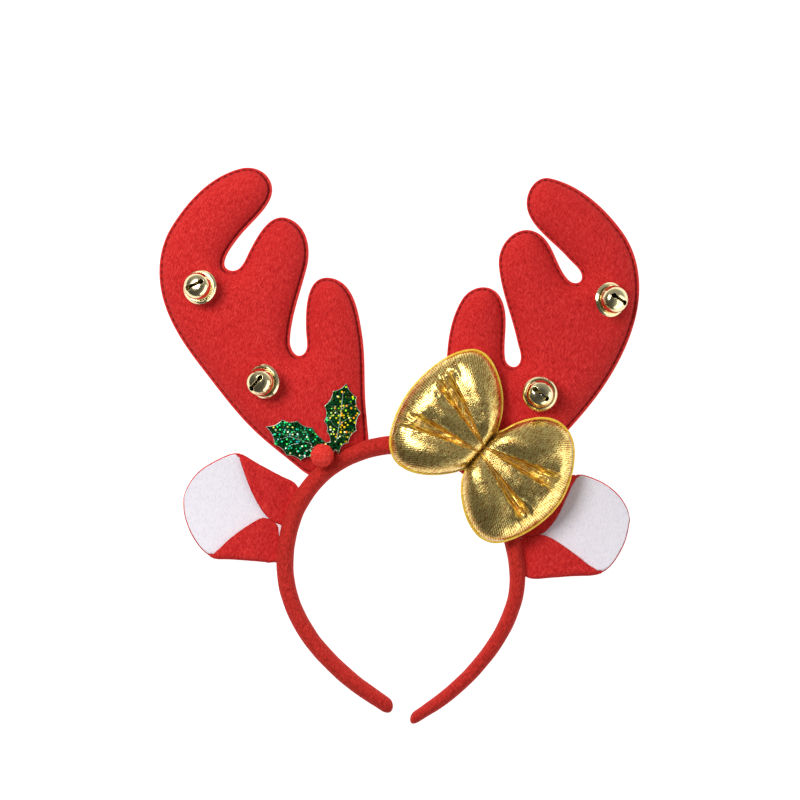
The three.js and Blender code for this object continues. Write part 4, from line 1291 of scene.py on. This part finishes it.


# The berry's faint glow in its own colour is painted light, for light that passes through the fluff.
def berry_finish():
    wire, shader, material = new_finish(
        "berry fluff", Roughness=0.95, Specular_IOR_Level=0.1, Sheen_Weight=0.3, Sheen_Roughness=0.5,
        Emission_Strength=0.05,
    )
    shader.inputs["Sheen Tint"].default_value = (1.0, 0.35, 0.3, 1.0)
    place = own_place(wire)
    fluff = mottle(wire, place, 1300.0, 3.0)
    colour = fluff.step(*NOISE_SPREAD).mix(linear(226, 50, 44), linear(252, 88, 74))
    raised = wire.node("Bump", {}, {"Height": fluff, "Strength": 0.7, "Distance": 0.0006})
    feed(wire, shader, Base_Color=colour, Normal=raised, Emission_Color=colour)
    return material


def fibre(dice):
    """A thin spike that stands out of the berry's ball."""
    out = Vector((dice.gauss(0, 1), dice.gauss(0, 1), dice.gauss(0, 1))).normalized()
    side = out.orthogonal().normalized()
    other = out.cross(side)
    lean = (side * dice.uniform(-1, 1) + other * dice.uniform(-1, 1)) * FIBRE_LEAN
    root = out * (BERRY_RADIUS - FIBRE_ROOT)
    tip = out * (BERRY_RADIUS + dice.uniform(*FIBRE_LONG)) + lean
    thick = dice.uniform(*FIBRE_THICK)
    base = [root + thick * (side * math.cos(a) + other * math.sin(a)) for a in FIBRE_CORNERS]
    return [p[:] for p in (*base, tip)], [(0, 2, 1), (0, 1, 3), (1, 2, 3), (2, 0, 3)]


ball = bmesh.new()
bmesh.ops.create_icosphere(ball, subdivisions=5, radius=1)
core = []
for vertex in ball.verts:
    lump = sum(high * noise.noise(vertex.co * close) for high, close in BERRY_LUMPS)
    core.append((vertex.co * (BERRY_RADIUS + lump))[:])
ball_faces = [tuple(v.index for v in face.verts) for face in ball.faces]
ball.free()
dice = random.Random(BERRY_SEED)
points, faces = joined([(core, ball_faces)] + [fibre(dice) for _ in range(BERRY_FIBRES)])
points = points + BERRY
points[:, 2] = np.maximum(points[:, 2], BERRY_FLOOR)
dress(add_mesh("berry_pompom", points, faces), "berry", berry_finish(), node="berry")

# %% [markdown]
# ## Bow
# The bow is one stuffed pad of ribbed gold cloth, tied hard at its middle. The tie gathers the cloth
# into two pockets on each half, narrow at the tie and wide further out. Each half is a grid whose
# columns follow the pockets: seam, pocket floors and waist are pinned, and pressure puffs the rest.

# %% Gold cloth
BOW_HEADING = -39.9
BOW_AT = np.array((42.3, -1.1, 18.4))
RIBS, RIB_FAN, RIB_WOBBLE = 270, 0.006, 4.0
# How far the painted shade at the tie reaches from it, in metres, and how dark it gets.
TIE_ENDS, TIE_SHADE = (0.0001, 0.0007), 0.5
# How fine the noises are along the bow and round the tie.
WRINKLES, PLEATS = (1500.0, 14.0), (200.0, 50.0)
RIB_SHARE, WRINKLE_SHARE, SPECK_SHARE = 0.45, 0.45, 0.4
GOLD_METAL, FOLD_DULL = 0.94, 0.54


def fanned(wire, along, angle, fine):
    """Noise that spreads out from the tie."""
    return mottle(wire, wire.node("CombineXYZ", {}, {0: along * fine[0], 1: angle * fine[1]}), 1.0)


def gold_finish():
    """Ribbed metal cloth; painted shade at the tie, painted bounce light in the less mirrorlike folds."""
    wire, shader, material = new_finish("gold cloth")
    place = own_place(wire)
    tie = (BOW_AT + DRAWING) * MM
    turn = {"Vector": place, "Center": tie, "Angle": math.radians(-BOW_HEADING)}
    turned = wire.node("VectorRotate", {"rotation_type": "Z_AXIS"}, turn)
    along, side = (wire.node("SeparateXYZ", {}, {0: turned}, out=k) - tie[k] for k in (0, 1))
    angle = side.math("ARCTAN2", along.math("ABSOLUTE") + RIB_FAN)
    wobble = mottle(wire, place, 300.0)
    rib = (angle * RIBS + wobble * RIB_WOBBLE).math("SINE") * 0.5 + 0.5
    wrinkle = fanned(wire, along, angle, WRINKLES).step(*NOISE_SPREAD)
    speck = mottle(wire, place, 2000.0)
    weave = rib * RIB_SHARE + wrinkle * WRINKLE_SHARE + speck.step(*NOISE_SPREAD) * SPECK_SHARE
    colour = weave.step(0.2, 1.0).mix(linear(166, 90, 3), linear(255, 238, 150))
    # Painted shade in the crease where the tie pulls the cloth together.
    waist = 1 - along.math("ABSOLUTE").step(*TIE_ENDS)
    colour = (waist * TIE_SHADE).mix(colour, linear(80, 44, 4))
    # On the pocket walls the base colour is a bright orange painted reflection of light bouncing between the
    # walls, and the cloth is less of a mirror there.
    fold = kept(wire, "fold")
    pleats = fanned(wire, along, angle, PLEATS)
    bounce_colour = pleats.step(0.38, 0.62).mix(linear(150, 78, 2), linear(255, 206, 66))
    raised = wire.node("Bump", {}, {"Height": weave, "Strength": 1.0, "Distance": 0.00006})
    feed(
        wire, shader, Base_Color=fold.mix(colour, bounce_colour), Metallic=GOLD_METAL - fold * FOLD_DULL,
        Roughness=speck * 0.1 + 0.22, Normal=raised,
    )
    return material


def gold_edge_finish():
    wire, shader, material = new_finish("gold edge", Metallic=0.2, Roughness=0.35)
    place = own_place(wire)
    thread = mottle(wire, place, 1100.0).step(*NOISE_SPREAD)
    feed(wire, shader, Base_Color=thread.mix(linear(246, 190, 36), linear(255, 226, 96)))
    return material


gold_cloth, gold_edge = gold_finish(), gold_edge_finish()
print("cloth:", gold_cloth.name, "and", gold_edge.name)

# %% Bow grid
BOW_SEAM, BOW_FULLNESS, BOW_CAP = 0.6, 0.92, 1.8
PLUMP_SQUARE, PLUMP_ROUND = 2.3, 0.6
# Each half's rows: distance from the tie, and how far the upper and lower sides reach.
BOW_EDGES = {
    -1: [
        (0, 9.5, 13.5), (2, 14.2, 16), (4, 18.3, 19.2), (7, 22.7, 22.7), (10.5, 26.7, 26.2),
        (15, 30.4, 29.7), (20, 33.6, 32.4), (25, 35.8, 33.8), (30, 36.5, 33.7), (35, 35, 31.2),
        (39, 31, 27.2), (42, 26, 21.8), (44.5, 19.3, 15.5), (46.2, 11.5, 8.5), (46.9, 5, 3.5), (47, 1.5, 1),
    ],
    1: [
        (0, 9.5, 13.5), (2, 12.8, 19), (4, 18, 22.2), (7.7, 24.6, 26.4), (13.7, 31.1, 31.2), (20, 34, 34.4),
        (27, 33.7, 35.9), (33, 30.6, 34.3), (37, 26.5, 31), (41, 20.5, 24.6), (44, 14.2, 17.5),
        (46, 8, 10), (46.9, 3, 4), (47, 1, 1.4),
    ],
}
# Distance from the tie, and how far the front and the back stand out there.
BOW_HEIGHTS = [
    (0, 1.4, 4.4), (0.5, 5.4, 4.5), (1.5, 8.4, 4.8), (3.5, 10.4, 5), (7, 11.4, 5.1), (13, 11.9, 5.1),
    (20, 12, 5.1), (27, 11.4, 5), (33, 9.6, 4.6), (37.5, 8, 4), (41.5, 5.8, 3), (44.6, 3.4, 1.8),
    (46.4, 1.4, 0.8), (47, 0.2, 0.1),
]
BOW_TIE = (-3.0, 0.4)
BOW_POCKETS = {-1: ((-14, -6.8), (7.3, 15.4)), 1: ((-13.5, -8.5), (3.8, 11.5))}
POCKET_AT, POCKET_FADE, POCKET_DEEP, POCKET_STEEP = 30, (24, 40), 0.72, 1.0
POCKET_SHAPE = (0, 1, 0.6, 0.85, 0)
POCKET_AT_TIE, POCKET_OUTER, POCKET_INNER = 0.35, 0.62, 0.3
SHOULDER_DROP, SHOULDER_WIDE, SHOULDER_FADE = 0.34, 5.5, (28, 42)
BOW_INSET, PIPING_INSET = (0.974, 0.966), (0.988, 0.982)
PANEL, MIDDLE_PANEL, POCKET = 8, 6, 4
BOW_COLUMNS = 2 * (PANEL + POCKET) + MIDDLE_PANEL + 1
POCKET_COLUMNS = (PANEL, PANEL + POCKET + MIDDLE_PANEL)
POCKET_EDGES = [first + k for first in POCKET_COLUMNS for k in (0, POCKET)]
POCKET_CREASE = 0.6
bow_heights = spline(BOW_HEIGHTS, 6)


def even_ends(low, high, steps):
    """Places between two ends, closer together near both."""
    return low + (high - low) * (0.5 - 0.5 * np.cos(np.linspace(0, math.pi, steps + 1)))


def pocket_lines(along, facing):
    """Sides of the four edges of a half's pockets, from the lowest to the highest."""
    sides = []
    for tie, pocket in zip(BOW_TIE, BOW_POCKETS[facing]):
        spread = (np.array(pocket) - tie) * along / POCKET_AT
        sides += list(tie + ((-POCKET_AT_TIE, POCKET_AT_TIE) + spread))
    return sides


def row_sides(along, up, low, facing):
    """Sides of a row's columns: panel, pocket, middle panel, pocket, panel."""
    lines = pocket_lines(along, facing)
    limits = (-POCKET_OUTER * low, -POCKET_INNER * low, POCKET_INNER * up, POCKET_OUTER * up)
    lines = [max(a, b) if b < 0 else min(a, b) for a, b in zip(lines, limits)]
    return np.concatenate((
        even_ends(-low, lines[0], PANEL)[:-1], np.linspace(*lines[:2], POCKET + 1)[:-1],
        even_ends(*lines[1:3], MIDDLE_PANEL)[:-1], np.linspace(*lines[2:], POCKET + 1)[:-1],
        even_ends(lines[3], up, PANEL),
    ))


def bow_half(facing):
    """Front and back rows of one half of the bow, in the bow's own frame."""
    fronts, backs = [], []
    for along, up, low in spline(BOW_EDGES[facing], 3):
        side = row_sides(along, up, low, facing)
        share = np.where(side > 0, side / up, -side / low)
        plump = np.clip(1 - share**PLUMP_SQUARE, 0, 1) ** PLUMP_ROUND
        front, back = (np.interp(along, bow_heights[:, 0], bow_heights[:, k]) for k in (1, 2))
        rise = front * plump * BOW_FULLNESS
        deep = POCKET_DEEP * (1 - soft_step(along, *POCKET_FADE))
        for first in POCKET_COLUMNS:
            outside = np.maximum(side[first] - side, side - side[first + POCKET]).clip(0)
            drop = SHOULDER_DROP * (1 - soft_step(along, *SHOULDER_FADE))
            rise *= 1 - drop * hump(outside, 0, SHOULDER_WIDE)
            inside = slice(first, first + POCKET + 1)
            depth = np.minimum(deep * rise[inside], POCKET_STEEP * np.ptp(side[inside]))
            rise[inside] -= depth * POCKET_SHAPE
        lowest = PAD_FRONT + SEAT - BOW_AT[2]
        level = np.full(len(side), along * facing * BOW_INSET[0])
        side = side * BOW_INSET[1]
        fronts.append(np.column_stack((level, side, BOW_SEAM + rise)))
        backs.append(np.column_stack((level, side, np.maximum(-BOW_SEAM - back * plump, lowest))))
    return fronts, backs


near_front, near_back = bow_half(-1)
far_front, far_back = bow_half(1)
fronts = near_front[:0:-1] + far_front
backs = near_back[:0:-1] + far_back
print("bow:", len(fronts), "rows of", BOW_COLUMNS, "columns")

# %% Bow stuffing
PINNED_PAST, PINNED_END = 3, 46
BOTTOM_COLUMNS = [first + k for first in POCKET_COLUMNS for k in (1, POCKET - 1)]


def place_bow(points):
    """Turns the bow from its own frame to its place on the antler."""
    turn = np.array(Matrix.Rotation(math.radians(BOW_HEADING), 3, "Z"))
    return np.asarray(points) @ turn.T + BOW_AT


rings = [np.vstack((front, back[::-1])) for front, back in zip(fronts, backs)]
points, faces = tube(rings)
bow = add_mesh("bow_pad", place_bow(points), faces)
ring = 2 * BOW_COLUMNS
waist = len(near_front) - 1
pinned = []
for row in range(len(fronts)):
    reach = abs(fronts[row][0][0])
    columns = {0, BOW_COLUMNS - 1} | set(range(BOW_COLUMNS, ring))
    if reach < POCKET_AT + PINNED_PAST:
        columns |= set(BOTTOM_COLUMNS)
    if row == waist or reach > PINNED_END:
        columns = set(range(ring))
    pinned += [row * ring + column for column in columns]
stuff(bow, pinned, BOW_CAP)
crisp = bow.data.attributes.new("crease_edge", "FLOAT", "EDGE")
for edge in bow.data.edges:
    low, high = sorted(edge.vertices)
    if high - low == ring and low % ring in POCKET_EDGES:
        crisp.data[edge.index].value = POCKET_CREASE
refine(bow, 2)

# %% [markdown]
# Metallic cloth is thin and crisp, so it crinkles where a pocket runs out. The crinkles are small
# pleats of noise drawn out away from the tie, strongest in the pockets and just beyond their ends.

# %% Crinkles
SEAM_CLEAR = 0.3
TIE_CRINKLE, TIE_LONG = 0.1, 4
POCKET_WOBBLE, WOBBLE_LONG = 0.5, 4
# A pocket's walls, where bounce light is painted, in shares of its half width, and where they fade along the
# bow.
WALL_ENDS, WALL_FADE, BOTTOM_CLEAR, BOTTOM_WIDE = (0.85, 1.15), (34, 42), 0.7, 0.35
INSIDE, INSIDE_START, INSIDE_FADE = 0.8, (5, 14), (32, 41)
BEYOND, BEYOND_AT, BEYOND_LONG, BEYOND_WIDE = 1.7, 35.5, 5, 1.7
PLEAT_TOP, PLEAT_DEEP, PLEAT_LONG, PLEAT_CLOSE = 0.4, 1.5, 8, 11
FAN_FROM = (-2, -1.3)
CREASE, CREASE_LONG = 0.25, 3
RIPPLE, BOW_RIPPLE_LONG = 0.12, 5


def crinkle(points):
    """Moves the bow's points into crinkles, and says how far inside a pocket each one is, for painted bounce
    light.
    """
    turn = np.array(Matrix.Rotation(math.radians(-BOW_HEADING), 3, "Z"))
    own = (points - BOW_AT) @ turn.T
    fold = np.zeros(len(points))
    for k, (along, side, height) in enumerate(own):
        if height < BOW_SEAM + SEAM_CLEAR:
            continue
        facing, reach = math.copysign(1, along), abs(along)
        lines = pocket_lines(reach, facing)
        strength = TIE_CRINKLE * math.exp(-reach / TIE_LONG)
        for low, high in (lines[:2], lines[2:]):
            off = (side - (low + high) / 2) / (high - low) * 2
            off += POCKET_WOBBLE * noise.noise(Vector((reach / WOBBLE_LONG, low, facing * 7)))
            wall = (1 - soft_step(abs(off), *WALL_ENDS)) * (1 - BOTTOM_CLEAR * hump(off, 0, BOTTOM_WIDE))
            fold[k] += wall * (1 - soft_step(reach, *WALL_FADE))
            within = soft_step(reach, *INSIDE_START) * (1 - soft_step(reach, *INSIDE_FADE))
            beyond = hump(off, 0, BEYOND_WIDE) * hump(reach, BEYOND_AT, BEYOND_LONG)
            strength += INSIDE * math.exp(-(off**4)) * within + BEYOND * beyond
        angle = math.atan2(side - FAN_FROM[1], reach - FAN_FROM[0])
        spread = noise.noise(Vector((reach / PLEAT_LONG, angle * PLEAT_CLOSE, facing * 4)))
        crease = noise.noise(Vector((along / CREASE_LONG, side / CREASE_LONG, 9)))
        ripple = noise.noise(Vector((along, side, 0)) / BOW_RIPPLE_LONG)
        pleat = PLEAT_TOP - PLEAT_DEEP * abs(spread)
        points[k, 2] += strength * (pleat + CREASE * crease) + RIPPLE * ripple
    return points, fold


points, fold = crinkle(vertices_mm(bow))
move_vertices(bow, points)
mark(bow, "fold", fold)
dress(bow, "bow", gold_cloth, node="bow")

# %% Bow edge
BOW_PIPING, PIPING_WIDTH = 0.4, 1.5


def bow_rim():
    """The bow's seam line, all the way round."""
    left = [front[0] for front in fronts]
    right = [front[-1] for front in fronts]
    line = np.array(left + right[::-1])
    line *= (*np.array(PIPING_INSET) / BOW_INSET, 0)
    return evenly(np.vstack((line, line[:1])), 1.0)[:-1]


rim_points, rim_faces = ring_tube(place_bow(bow_rim()), BOW_PIPING, width=PIPING_WIDTH)
dress(add_mesh("bow_piping", rim_points, rim_faces), "bow", gold_edge)
